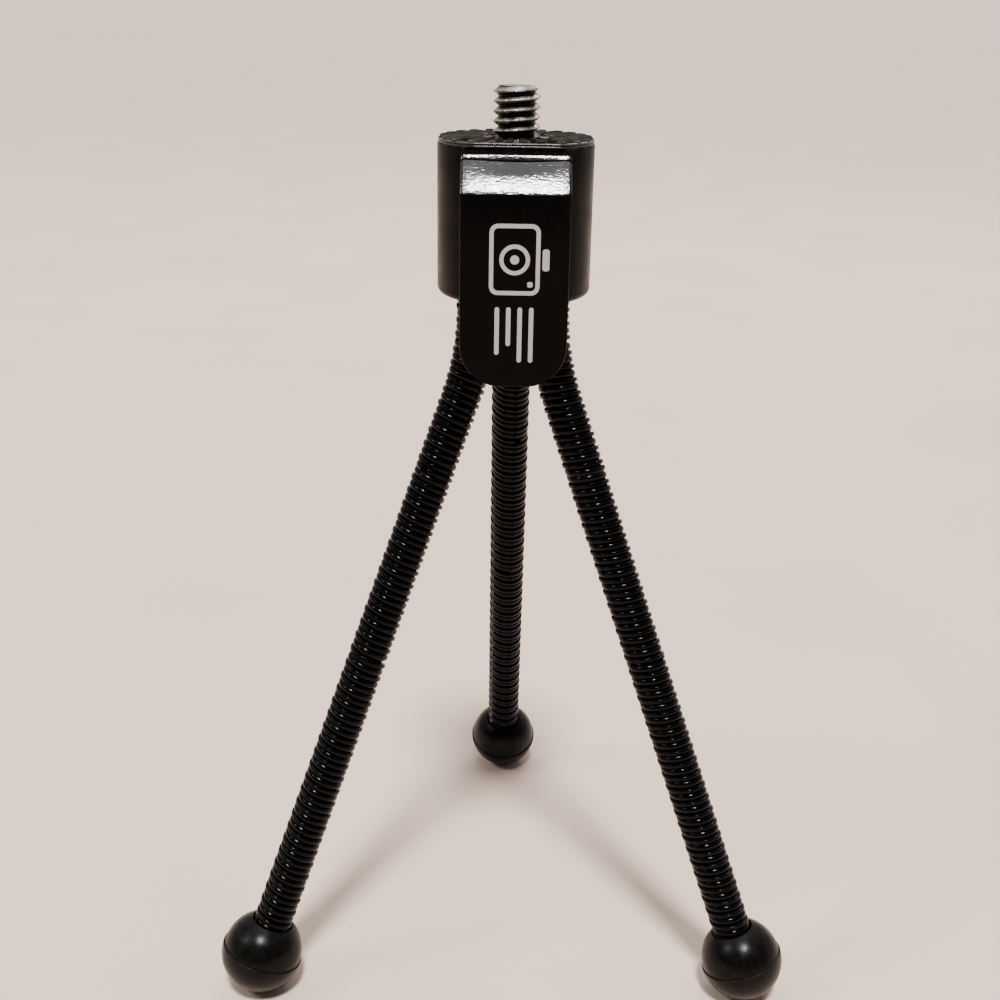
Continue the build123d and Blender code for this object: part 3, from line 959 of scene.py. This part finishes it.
class TRIPOD_OT_barrel(bpy.types.Operator):
    """Make the moulded barrel with its three leg sockets"""

    bl_idname = "tripod.barrel"
    bl_label = "Barrel"

    def execute(self, context):
        settings = context.scene.tripod_head
        material = moulded_plastic("barrel_plastic", settings.colour, smooth=0.26, rough=0.40,
                                   grain_scale=2600.0, grain_depth=0.00003, dust=0.25, scuffs=0.35)
        edge = settings.edge_radius
        wall = 1.6 * MM
        rim = 0.25 * MM
        bottom, top = head_low.z, head_high.z
        deck_top = bottom + 7 * MM

        def wall_ring(z, inset=0.0):
            return ring_at(flat_outline(HEAD_R, HEAD_FLAT, inset), z)

        rings = []
        for i in range(EDGE_STEPS + 1):
            angle = math.radians(90 * i / EDGE_STEPS)
            rings.append(wall_ring(bottom + edge * (1 - math.cos(angle)),
                                   edge * (1 - math.sin(angle))))
        rings += [wall_ring(bottom + (top - bottom) * share) for share in (0.25, 0.5, 0.75)]
        rings += [wall_ring(top - rim), wall_ring(top - rim * 0.3, rim * 0.3), wall_ring(top, rim),
                  wall_ring(top, wall), wall_ring(deck_top, wall)]
        bm = bmesh.new()
        loops = loft(bm, rings, close_start=False, close_end=False)
        socket_r = context.scene.tripod_legs.outer_radius + 0.12 * MM
        countersink = 0.35 * MM
        floor_edges = loop_edges(loops[0])
        deck_edges = loop_edges(loops[-1])
        for leg in LEGS:
            root = LegLine(leg).hinges[0]
            circles = []
            for radius, z in ((socket_r + countersink, bottom), (socket_r, bottom + countersink),
                              (socket_r, deck_top)):
                turns = [2 * math.pi * i / SOCKET_SEGMENTS for i in range(SOCKET_SEGMENTS)]
                circles.append([Vector((root.x + radius * math.cos(turn),
                                        root.y + radius * math.sin(turn), z)) for turn in turns])
            tube = loft(bm, circles, close_start=False, close_end=False)
            floor_edges += loop_edges(tube[0])
            deck_edges += loop_edges(tube[-1])
        bmesh.ops.triangle_fill(bm, use_beauty=True, use_dissolve=False, edges=floor_edges)
        bmesh.ops.triangle_fill(bm, use_beauty=True, use_dissolve=False, edges=deck_edges)
        mesh = mesh_from(bm, "barrel", smooth_angle=35)
        finish_piece("barrel", mesh, material, ("head",), ("head_body",))
        return {"FINISHED"}


# ---------------------------------------------------------------------------
# Front cover and its printed pictogram
# ---------------------------------------------------------------------------

RAMP_DROP = 4.55 * MM
RAMP_DOME = 12.0
COVER_CORNER = 5.5 * MM
COVER_EDGE = 0.3 * MM
TOP_CORNER = 0.4 * MM
LIP_SAG = 0.22 * MM


def cover_top_line(depth):
    """Side view of the cover's top, as (distance forward, drop) pairs.

    A lip with a rounded back and a straight band, a narrow crease under it, and then
    the slope, which is steepest at its foot.
    """
    back_r, band, band_tilt = 0.3 * MM, 0.42 * MM, math.radians(55)
    flat = 0.1 * MM
    points = [(0.0, 0.0)]
    for i in range(6):
        angle = band_tilt * i / 5
        points.append((flat + back_r * math.sin(angle), back_r * (1 - math.cos(angle))))
    forward, drop = points[-1]
    forward += band * math.cos(band_tilt)
    drop += band * math.sin(band_tilt)
    points.append((forward, drop))
    crease_line = ((0.02, 0.04), (0.02, 0.11), (-0.03, 0.16), (-0.03, 0.21), (0.03, 0.22))
    points += [(forward + x * MM, drop + z * MM) for x, z in crease_line]
    crease = points[-1]
    steps = 24
    fall = (RAMP_DROP - crease[1]) / steps
    ahead = [0.0]
    for i in range(steps):
        tilt = 34.0 + RAMP_DOME * (1 - (i + 0.5) / steps)
        ahead.append(ahead[-1] + fall * math.tan(math.radians(tilt)))
    stretch = (depth - crease[0]) / ahead[-1]
    points += [(crease[0] + ahead[i] * stretch, crease[1] + fall * i) for i in range(1, steps + 1)]
    return points


def lip_sag(drop, across):
    """How much lower the lip's foot and the crease hang at the middle of the cover."""
    def eased(low, high):
        t = min(max((drop - low) / (high - low), 0.0), 1.0)
        return t * t * (3 - 2 * t)
    weight = eased(0.2 * MM, 0.55 * MM) * (1 - eased(0.85 * MM, 2.6 * MM))
    return LIP_SAG * weight * math.cos(math.pi / 2 * min(abs(across), 1.0)) ** 1.5


def cover_outline(half_width, bottom, top, corner, top_corner):
    """Upright outline, (x, z), with big lower corners and small upper ones."""
    points = []
    points += arc(half_width - corner, bottom + corner, corner, 270, 360, 18)
    side_low = bottom + corner
    side_high = top - top_corner
    points += [(half_width, side_low + (side_high - side_low) * t) for t in (0.33, 0.66)]
    points += arc(half_width - top_corner, top - top_corner, top_corner, 0, 90, 5)
    across = half_width - top_corner
    points += [(across * (1 - 2 * i / 12), top) for i in range(1, 12)]
    points += arc(-half_width + top_corner, top - top_corner, top_corner, 90, 180, 5)
    points += [(-half_width, side_high + (side_low - side_high) * t) for t in (0.33, 0.66)]
    points += arc(-half_width + corner, bottom + corner, corner, 180, 270, 18)
    return points


class TRIPOD_OT_cover(bpy.types.Operator):
    """Make the front cover with its sloping top"""

    bl_idname = "tripod.cover"
    bl_label = "Front cover"

    def execute(self, context):
        colour = context.scene.tripod_head.cover_colour
        face = cover_plastic("cover_plastic", colour, gloss=0.055, smooth=0.30, rough=0.42,
                             pebble_share=0.5, pebble_depth=0.000006)
        sloping = cover_plastic("cover_slope_plastic", colour, gloss=0.75, smooth=0.15, rough=0.22,
                                pebble_share=0.55, pebble_depth=0.00007)
        half = cover_size.x / 2
        back = -HEAD_FLAT
        front = cover_low.y - HEAD_Y
        bottom, top = cover_low.z, cover_high.z
        edge = COVER_EDGE
        wall = 1.6 * MM

        def ring(y, drop, inset):
            outline = cover_outline(half - inset, bottom + inset, top - drop,
                                    COVER_CORNER - inset, TOP_CORNER)
            upper = top - drop - TOP_CORNER
            return [head_point(x, y, z - (lip_sag(drop, x / half) if z > upper else 0))
                    for x, z in outline]

        line = cover_top_line(back - front)
        bm = bmesh.new()
        rings = [ring(back - forward, drop, 0.0) for forward, drop in line
                 if forward < back - front - edge]
        last_forward, last_drop = [pair for pair in line if pair[0] < back - front - edge][-1]
        steep = (RAMP_DROP - last_drop) / (back - front - last_forward)
        for i in range(1, EDGE_STEPS + 1):
            angle = math.radians(90 * i / EDGE_STEPS)
            y = front + edge * (1 - math.sin(angle))
            drop = last_drop + steep * (back - y - last_forward)
            inset = edge * (1 - math.cos(angle))
            rings.append(ring(y, drop + inset * 0.35, inset))
        loops = loft(bm, rings, close_start=False, close_end=True)
        pocket_top = top - RAMP_DROP - wall
        pocket = []
        for y, inset in ((back, wall), (front + wall, wall)):
            outline = cover_outline(half - inset, bottom + inset, pocket_top,
                                    COVER_CORNER - inset, 1.2 * MM)
            pocket.append([head_point(x, y, z) for x, z in outline])
        inner = loft(bm, pocket, close_start=False, close_end=True)
        bridge(bm, loops[0], inner[0])
        mesh = mesh_from(bm, "cover", smooth_angle=32)
        cover = finish_piece("cover", mesh, face, ("head",), ("front_cover",))
        mesh.materials.append(sloping)
        for polygon in cover.data.polygons:
            if polygon.normal.z > 0.3 and polygon.center.z > top - RAMP_DROP - 0.1 * MM:
                polygon.material_index = 1
        return {"FINISHED"}


def rounded_box(width, height, radius, steps=5):
    """Outline of a rounded rectangle round its own middle."""
    x, y = width / 2 - radius, height / 2 - radius
    return (arc(x, -y, radius, -90, 0, steps) + arc(x, y, radius, 0, 90, steps)
            + arc(-x, y, radius, 90, 180, steps) + arc(-x, -y, radius, 180, 270, steps))


class TRIPOD_OT_pictogram(bpy.types.Operator):
    """Print a plain camera pictogram and rules on the cover"""

    bl_idname = "tripod.pictogram"
    bl_label = "Printed pictogram"

    def execute(self, context):
        material = print_ink(context.scene.tripod_head.ink_colour)
        film = 0.02 * MM
        face = cover_low.y - HEAD_Y
        middle = (cover_low.z + cover_high.z - RAMP_DROP) / 2
        bm = bmesh.new()

        def place(points, across, up, y):
            return [head_point(x + across, y, z + up + middle) for x, z in points]

        def solid(points, across, up):
            """Filled shape of ink."""
            loft(bm, [place(points, across, up, face + film), place(points, across, up, face - film)])

        def band(outer, inner, across, up):
            """Ring of ink between two outlines."""
            rings = [place(outer, across, up, face + film), place(outer, across, up, face - film),
                     place(inner, across, up, face - film), place(inner, across, up, face + film)]
            loops = loft(bm, rings, close_start=False, close_end=False)
            bridge(bm, loops[-1], loops[0])

        line = 0.55 * MM
        body_w, body_h = 6.6 * MM, 9.2 * MM
        lens_r, pupil_r = 2.0 * MM, 0.6 * MM
        rule_w, rule_gap = 0.6 * MM, 1.6 * MM
        shift = 4.4 * MM
        band(rounded_box(body_w, body_h, 1.1 * MM),
             rounded_box(body_w - 2 * line, body_h - 2 * line, 0.6 * MM), 0, shift)
        band(arc(0, 0, lens_r, 0, 345, 23), arc(0, 0, lens_r - line, 0, 345, 23), 0, shift)
        solid(arc(0, 0, pupil_r, 0, 330, 11), 0, shift)
        solid(rounded_box(0.9 * MM, 2.8 * MM, 0.3 * MM), body_w / 2 + 0.75 * MM, shift)
        solid(rounded_box(0.7 * MM, 0.7 * MM, 0.2 * MM), 2.05 * MM, shift - 3.2 * MM)
        rule_drop = -body_h / 2 + shift - rule_gap
        for across, length in ((2.3 * MM, 7.4 * MM), (0.8 * MM, 7.4 * MM), (-0.7 * MM, 5.2 * MM),
                               (-2.2 * MM, 6.4 * MM)):
            solid(rounded_box(rule_w, length, 0.29 * MM), across, rule_drop - length / 2)
        mesh = mesh_from(bm, "pictogram", smooth_angle=30)
        finish_piece("pictogram", mesh, material, ("head",))
        return {"FINISHED"}


# ---------------------------------------------------------------------------
# Ridged pad
# ---------------------------------------------------------------------------

# Edge of the pad from its underside up, as (share of its thickness, inset in mm):
# two rounded beads with a narrow groove between them.
PAD_EDGE = (
    (0.0, 0.12), (0.04, 0.04), (0.12, 0.0), (0.26, 0.0), (0.36, 0.05), (0.43, 0.14), (0.50, 0.15),
    (0.56, 0.11), (0.62, 0.04), (0.70, 0.0), (0.80, 0.0), (0.90, 0.05), (0.97, 0.13), (1.0, 0.24),
)


# Distance from the stud's axis to the inner end of a ridge.
RIDGE_START = 4.9 * MM


def ridge_tree():
    """Sets copies of one ridge round the pad, cut short where the front is flat."""
    existing = bpy.data.node_groups.get("pad_ridges")
    if existing:
        return existing
    tree, start, end = new_group(
        "pad_ridges",
        [("Geometry", "NodeSocketGeometry", None), ("Count", "NodeSocketInt", 32),
         ("Inner Radius", "NodeSocketFloat", 0.005), ("Outer Radius", "NodeSocketFloat", 0.0103),
         ("Flat", "NodeSocketFloat", 0.008), ("Centre", "NodeSocketVector", (0.0, 0.0, 0.0)),
         ("Material", "NodeSocketMaterial", None)],
        [("Geometry", "NodeSocketGeometry")], kind="GeometryNodeTree")

    inlet = start.outputs
    spots = add_node(tree, "GeometryNodePoints", (-300, 300), {"Count": inlet["Count"]})
    index = add_node(tree, "GeometryNodeInputIndex", (-700, -200))
    share = maths(tree, "DIVIDE", index.outputs["Index"], inlet["Count"], (-500, -200))
    half_share = maths(tree, "DIVIDE", 0.5, inlet["Count"], (-500, -350))
    shifted = maths(tree, "ADD", share, half_share, (-420, -250))
    angle = maths(tree, "MULTIPLY", shifted, 2 * math.pi, (-350, -200))
    across = maths(tree, "COSINE", angle, 0.0, (-200, -100))
    forward = maths(tree, "SINE", angle, 0.0, (-200, -300))
    towards_front = maths(tree, "MULTIPLY", forward, -1.0, (-50, -300))
    safe = maths(tree, "MAXIMUM", towards_front, 0.05, (100, -300))
    to_flat = maths(tree, "DIVIDE", inlet["Flat"], safe, (250, -300))
    outer = maths(tree, "MINIMUM", to_flat, inlet["Outer Radius"], (400, -300))
    length = maths(tree, "SUBTRACT", outer, inlet["Inner Radius"], (550, -300))
    direction = add_node(tree, "ShaderNodeCombineXYZ", (0, 0), {"X": across, "Y": forward})
    inner_point = add_node(tree, "ShaderNodeVectorMath", (200, 0),
                           {0: direction.outputs["Vector"], "Scale": inlet["Inner Radius"]},
                           operation="SCALE")
    spot = add_node(tree, "ShaderNodeVectorMath", (350, 0),
                    {0: inner_point.outputs["Vector"], 1: inlet["Centre"]}, operation="ADD")
    placed = add_node(tree, "GeometryNodeSetPosition", (500, 300),
                      {"Geometry": spots.outputs["Geometry"], "Position": spot.outputs["Vector"]})
    turn = add_node(tree, "ShaderNodeCombineXYZ", (550, 0), {"Z": angle})
    size = add_node(tree, "ShaderNodeCombineXYZ", (700, -200), {"X": length, "Y": 1.0, "Z": 1.0})
    copies = add_node(tree, "GeometryNodeInstanceOnPoints", (750, 300),
                      {"Points": placed.outputs["Geometry"], "Instance": inlet["Geometry"],
                       "Rotation": turn.outputs["Vector"], "Scale": size.outputs["Vector"]})
    real = add_node(tree, "GeometryNodeRealizeInstances", (950, 300),
                    {"Geometry": copies.outputs["Instances"]})
    painted = add_node(tree, "GeometryNodeSetMaterial", (1100, 300),
                       {"Geometry": real.outputs["Geometry"], "Material": inlet["Material"]})
    tree.links.new(painted.outputs["Geometry"], end.inputs["Geometry"])
    end.location = (1300, 300)
    return tree


def ridge_mesh(width, height, sink):
    """One rounded ridge, one metre long so that a copy's scale is its length."""
    bm = bmesh.new()
    rings = []
    ends = ((0.0, 0.25), (0.05, 0.8), (0.13, 1.0), (0.5, 1.0), (0.87, 1.0), (0.96, 0.85), (1.0, 0.45))
    for along, fullness in ends:
        half = width / 2 * (0.72 + 0.28 * along) * (0.6 + 0.4 * fullness)
        crown = height * fullness
        ring = [(along, -half, -sink), (along, half, -sink), (along, half, crown * 0.55),
                (along, half * 0.62, crown * 0.95), (along, -half * 0.62, crown * 0.95),
                (along, -half, crown * 0.55)]
        rings.append([Vector(point) for point in ring])
    loft(bm, rings)
    return mesh_from(bm, "ridge", smooth_angle=60)


class TRIPOD_OT_pad(bpy.types.Operator):
    """Make the ridged rubber pad"""

    bl_idname = "tripod.pad"
    bl_label = "Ridged pad"

    def execute(self, context):
        settings = context.scene.tripod_pad
        material = pad_rubber(settings.colour)
        hole_r = 3.45 * MM
        base_top = pad_high.z - settings.ridge_height
        bottom = pad_low.z
        thickness = base_top - bottom
        floor = base_top - 0.1 * MM
        outline = flat_outline(PAD_R, PAD_FLAT)
        hole = [(hole_r * math.cos(a), hole_r * math.sin(a))
                for a in (math.atan2(y, x) for x, y in outline)]
        rings = [ring_at(hole, bottom)]
        rings += [ring_at(flat_outline(PAD_R, PAD_FLAT, inset * MM), bottom + thickness * share)
                  for share, inset in PAD_EDGE]
        inner = flat_outline(PAD_R, PAD_FLAT, 0.55 * MM)
        rings.append(ring_at(flat_outline(PAD_R, PAD_FLAT, 0.45 * MM), base_top))
        for share in (1.0, 0.75, 0.5, 0.25, 0.0):
            rings.append(ring_at([(hx + (x - hx) * share, hy + (y - hy) * share)
                                  for (x, y), (hx, hy) in zip(inner, hole)], floor))
        bm = bmesh.new()
        loops = loft(bm, rings, close_start=False, close_end=False)
        bridge(bm, loops[-1], loops[0])
        base = mesh_from(bm, "pad_base", smooth_angle=50)

        holder = link(bpy.data.objects.new(
            "ridge", ridge_mesh(settings.ridge_width, settings.ridge_height, 0.2 * MM)))
        ridges = grown_mesh(holder, ridge_tree(), {
            "Count": settings.ridges,
            "Inner Radius": RIDGE_START,
            "Outer Radius": PAD_R - 0.15 * MM,
            "Flat": PAD_FLAT - 0.45 * MM,
            "Centre": tuple(head_point(0, 0, base_top)),
            "Material": material,
        }, "pad_ridges")

        bm = bmesh.new()
        bm.from_mesh(base)
        bm.from_mesh(ridges)
        mesh = bpy.data.meshes.new("pad")
        bm.to_mesh(mesh)
        bm.free()
        crown = mesh.attributes.new("crown", "FLOAT", "POINT")
        for index, vertex in enumerate(mesh.vertices):
            height = vertex.co.z - base_top
            crown.data[index].value = min(max(height / settings.ridge_height * 2 - 0.6, 0), 1)
        finish_piece("pad", mesh, material, ("head",), ("top_pad",))
        mesh.materials.append(rim_rubber(settings.colour))
        rim_width = 0.3 * MM
        for polygon in mesh.polygons:
            across = Vector((polygon.center.x - HEAD_X, polygon.center.y - HEAD_Y))
            at_edge = across.length > PAD_R - rim_width or -across.y > PAD_FLAT - rim_width
            if at_edge and polygon.center.z < base_top:
                polygon.material_index = 1
        return {"FINISHED"}


# ---------------------------------------------------------------------------
# Threaded stud
# ---------------------------------------------------------------------------

STUD_SEGMENTS = 72
THREAD_ROWS = 104
TIP_FLAT_R = 1.5 * MM
TIP_DISH = 0.05 * MM
# How bright the steel's colour is, from 0 for grime and painted shade to 1 for bright metal.
SHANK_CLEAN = 0.3
# Painted shade on the thread's downward-facing flanks: the share of brightness they keep.
UNDERSIDE_SHADED = 0.45
TIP_CLEAN = 0.7


class TRIPOD_OT_stud(bpy.types.Operator):
    """Cut the camera thread on the stud"""

    bl_idname = "tripod.stud"
    bl_label = "Camera stud"

    def execute(self, context):
        settings = context.scene.tripod_stud
        material = worn_steel(settings.colour)
        top = stud_high.z
        bottom = stud_low.z
        head_top = plate_top - 1.7 * MM
        thread_low = head_top + 1.2 * MM
        crest, depth, pitch = settings.major_radius, settings.depth, settings.pitch
        flats = stud_size.y / 2
        chamfer = 0.85 * MM
        segments = STUD_SEGMENTS
        crest_share, root_share = 0.10, 0.10

        def thread_radius(angle, z):
            """Radius of a right-hand thread, and how bright its colour is: crests bright, roots dark with
            grime and painted shade, undersides darkened with painted shade, and the lowest turns by the pad
            with painted shade and dirt.
            """
            turn = ((z - thread_low) / pitch - angle / (2 * math.pi)) % 1.0
            up = abs(turn - 0.5) * 2
            rise = (up - root_share) / (1 - crest_share - root_share)
            rise = min(max(rise, 0.0), 1.0)
            radius = crest - depth * (1 - rise)
            limit = crest - chamfer + (top - z) * 1.1
            fade = min(max((z - thread_low) / (0.6 * MM), 0.0), 1.0)
            radius = (crest - depth * 0.5) * (1 - fade) + radius * fade
            # Painted shade: downward-facing flanks keep only part of their brightness, and the turns just
            # above the pad fade to dark (painted shade and dirt).
            lit_and_clean = UNDERSIDE_SHADED if turn > 0.5 else 1.0
            clear_of_pad = (z - pad_high.z + 0.1 * MM) / (0.8 * MM)
            lit_and_clean *= min(max(clear_of_pad, 0.0), 1.0)
            return min(radius, limit), rise * lit_and_clean

        def hex_radius(angle):
            sector = math.radians(60)
            return flats / math.cos((angle % sector) - sector / 2)

        bm = bmesh.new()
        layer = bm.verts.layers.float.new("crest")
        heights = [(bottom, "hex"), (bottom + 0.3 * MM, "hex"), (head_top - 0.05 * MM, "hex"),
                   (head_top, "shank"), (thread_low, "shank")]
        heights += [(thread_low + (top - thread_low) * i / THREAD_ROWS, "thread")
                    for i in range(THREAD_ROWS + 1)]
        previous = None
        for z, kind in heights:
            current = []
            for i in range(segments):
                angle = 2 * math.pi * i / segments
                rise = SHANK_CLEAN
                if kind == "hex":
                    radius = hex_radius(angle) * (0.95 if z == bottom else 1.0)
                elif kind == "shank":
                    radius = crest - depth * 0.5
                else:
                    radius, rise = thread_radius(angle, z)
                vertex = bm.verts.new(head_point(radius * math.cos(angle), radius * math.sin(angle), z))
                vertex[layer] = rise
                current.append(vertex)
            if previous is None:
                bm.faces.new(list(reversed(current)))
            else:
                bridge(bm, previous, current)
            previous = current
        inner = []
        for i in range(segments):
            angle = 2 * math.pi * i / segments
            vertex = bm.verts.new(head_point(TIP_FLAT_R * math.cos(angle),
                                             TIP_FLAT_R * math.sin(angle), top - TIP_DISH))
            vertex[layer] = TIP_CLEAN
            inner.append(vertex)
        bridge(bm, previous, inner)
        bm.faces.new(inner)
        mesh = mesh_from(bm, "stud", smooth_angle=38)
        finish_piece("stud", mesh, material, ("head",), ("camera_screw",))
        return {"FINISHED"}


# ---------------------------------------------------------------------------
# Inner pieces and the stage
# ---------------------------------------------------------------------------

# Strength of the backdrop that matches the lit floor where the floor ends.
BACKDROP_GAIN = 1.85
# Power of the lamp behind the tripod, as a share of the side lamp's.
BACK_SHARE = 0.4
FLOOR_HALF = 6.0
LAMP_AIM = 0.06


class TRIPOD_OT_inner_pieces(bpy.types.Operator):
    """Give the pieces inside the head and feet their finishes"""

    bl_idname = "tripod.inner_pieces"
    bl_label = "Inner pieces"

    def execute(self, context):
        steel = worn_steel(PRESSED_STEEL, "pressed_steel", by_crest=False)
        plastic = moulded_plastic("plate_plastic", PLATE_BLACK, smooth=0.4, rough=0.6,
                                  grain_scale=2200.0, grain_depth=0.00005, dust=0.3, scuffs=0.2)
        finishes = {"leg_collars": steel, "top_plate": plastic}
        for leg in LEGS:
            finishes[f"{leg}_foot_plug"] = steel
        for node, material in finishes.items():
            obj = frame["nodes"][node]
            obj.data.materials.clear()
            obj.data.materials.append(material)
        return {"FINISHED"}


def room(strength, floor_colour):
    """Room light: dim where the viewer stands, brighter from behind.

    Where the floor ends, the viewer sees a backdrop as pale as the lit floor.
    """
    world = bpy.data.worlds.new("soft_room")
    world.use_nodes = True
    tree = world.node_tree
    background = tree.nodes["Background"]
    background.inputs["Color"].default_value = (1.0, 0.93, 0.88, 1.0)
    facing = add_node(tree, "ShaderNodeTexCoord", (-900, 0))
    parts = add_node(tree, "ShaderNodeSeparateXYZ", (-700, 0), {"Vector": facing.outputs["Generated"]})
    behind = add_node(tree, "ShaderNodeMapRange", (-450, 0),
                      {"Value": parts.outputs["Y"], "From Min": -0.55, "From Max": 0.6,
                       "To Min": 0.12, "To Max": 1.0}, interpolation_type="SMOOTHSTEP")
    scaled = add_node(tree, "ShaderNodeMath", (-200, 0),
                      {0: behind.outputs["Result"], 1: strength}, operation="MULTIPLY")
    tree.links.new(scaled.outputs[0], background.inputs["Strength"])
    backdrop = add_node(tree, "ShaderNodeBackground", (0, -200),
                        {"Color": (*floor_colour, 1.0), "Strength": BACKDROP_GAIN})
    seen = add_node(tree, "ShaderNodeLightPath", (0, 300))
    chosen = add_node(tree, "ShaderNodeMixShader", (250, 0),
                      {0: seen.outputs["Is Camera Ray"], 1: background.outputs["Background"],
                       2: backdrop.outputs["Background"]})
    tree.links.new(chosen.outputs["Shader"], tree.nodes["World Output"].inputs["Surface"])
    return world


class TRIPOD_OT_stage(bpy.types.Operator):
    """Set the floor, the lamps and the camera"""

    bl_idname = "tripod.stage"
    bl_label = "Stage"

    def execute(self, context):
        settings = context.scene.tripod_stage
        bm = bmesh.new()
        bmesh.ops.create_grid(bm, x_segments=4, y_segments=4, size=FLOOR_HALF)
        mesh = bpy.data.meshes.new("floor")
        bm.to_mesh(mesh)
        bm.free()
        mesh.materials.append(floor_cloth(settings.floor_colour))
        link(bpy.data.objects.new("floor", mesh))

        context.scene.world = room(settings.room_strength, settings.floor_colour)
        key = self.lamp("key", "SUN", azimuth=3, elevation=66, distance=1.0,
                        energy=settings.key_strength, colour=(1.0, 0.97, 0.94))
        key.angle = settings.key_size
        ceiling = self.lamp("ceiling", "AREA", azimuth=180, elevation=76, distance=1.3,
                            energy=settings.ceiling_power, colour=(1.0, 0.96, 0.93))
        ceiling.size = 1.1
        side = self.lamp("side", "AREA", azimuth=-72, elevation=42, distance=1.0,
                         energy=settings.side_power, colour=(1.0, 0.98, 0.96))
        side.size = 0.22
        back = self.lamp("back", "AREA", azimuth=158, elevation=38, distance=0.9,
                         energy=settings.side_power * BACK_SHARE, colour=(1.0, 0.98, 0.96))
        back.size = 0.25
        self.camera(settings.lens)
        return {"FINISHED"}

    def lamp(self, name, kind, azimuth, elevation, distance, energy, colour):
        """Soft lamp aimed at the tripod; azimuth 0 is in front, minus is left."""
        light = bpy.data.lights.new(name, kind)
        light.energy = energy
        light.color = colour
        turn, rise = math.radians(azimuth), math.radians(elevation)
        away = Vector((math.sin(turn) * math.cos(rise), -math.cos(turn) * math.cos(rise),
                       math.sin(rise)))
        obj = link(bpy.data.objects.new(name, light))
        obj.location = head_point(0, 0, LAMP_AIM) + away * distance
        obj.rotation_euler = (-away).to_track_quat("-Z", "Y").to_euler()
        return light

    def camera(self, lens):
        """Camera a little above the stud, looking down at the tripod."""
        data = bpy.data.cameras.new("camera")
        data.sensor_width = 36
        data.lens = lens
        data.clip_start = 0.01
        obj = link(bpy.data.objects.new("camera", data))
        aside, standoff, height = -0.0015, 0.17593, 0.13984
        obj.location = (aside, HEAD_Y - standoff, height)
        pitch, pan, roll = 0.3686, 0.0007, 0.0164
        facing = Matrix.Rotation(-pan, 4, "Z") @ Matrix.Rotation(math.pi / 2 - pitch, 4, "X")
        obj.rotation_euler = (facing @ Matrix.Rotation(roll, 4, "Z")).to_euler()
        bpy.context.scene.camera = obj


OPERATORS = (
    TRIPOD_OT_goosenecks,
    TRIPOD_OT_feet,
    TRIPOD_OT_barrel,
    TRIPOD_OT_cover,
    TRIPOD_OT_pictogram,
    TRIPOD_OT_pad,
    TRIPOD_OT_stud,
    TRIPOD_OT_inner_pieces,
    TRIPOD_OT_stage,
)

SETTINGS = {
    "tripod_legs": LegSettings,
    "tripod_feet": FootSettings,
    "tripod_head": HeadSettings,
    "tripod_pad": PadSettings,
    "tripod_stud": StudSettings,
    "tripod_stage": StageSettings,
}


class TRIPOD_PT_panel(bpy.types.Panel):
    """Sizes, colours and steps of the pocket tripod"""

    bl_idname = "TRIPOD_PT_panel"
    bl_label = "Pocket Tripod"
    bl_space_type = "VIEW_3D"
    bl_region_type = "UI"
    bl_category = "Tripod"

    def draw(self, context):
        for name, group in SETTINGS.items():
            box = self.layout.box()
            box.label(text=name.replace("_", " ").title())
            for key in group.__annotations__:
                box.prop(getattr(context.scene, name), key)
        for operator in OPERATORS:
            self.layout.operator(operator.bl_idname)


def register():
    for group in SETTINGS.values():
        bpy.utils.register_class(group)
    for name, group in SETTINGS.items():
        setattr(bpy.types.Scene, name, PointerProperty(type=group))
    for operator in OPERATORS:
        bpy.utils.register_class(operator)
    bpy.utils.register_class(TRIPOD_PT_panel)


def unregister():
    bpy.utils.unregister_class(TRIPOD_PT_panel)
    for operator in reversed(OPERATORS):
        bpy.utils.unregister_class(operator)
    for name in SETTINGS:
        delattr(bpy.types.Scene, name)
    for group in reversed(SETTINGS.values()):
        bpy.utils.unregister_class(group)


def main():
    register()
    for step in OPERATORS:
        category, name = step.bl_idname.split(".")
        getattr(getattr(bpy.ops, category), name)()


if __name__ == "__main__":
    main()
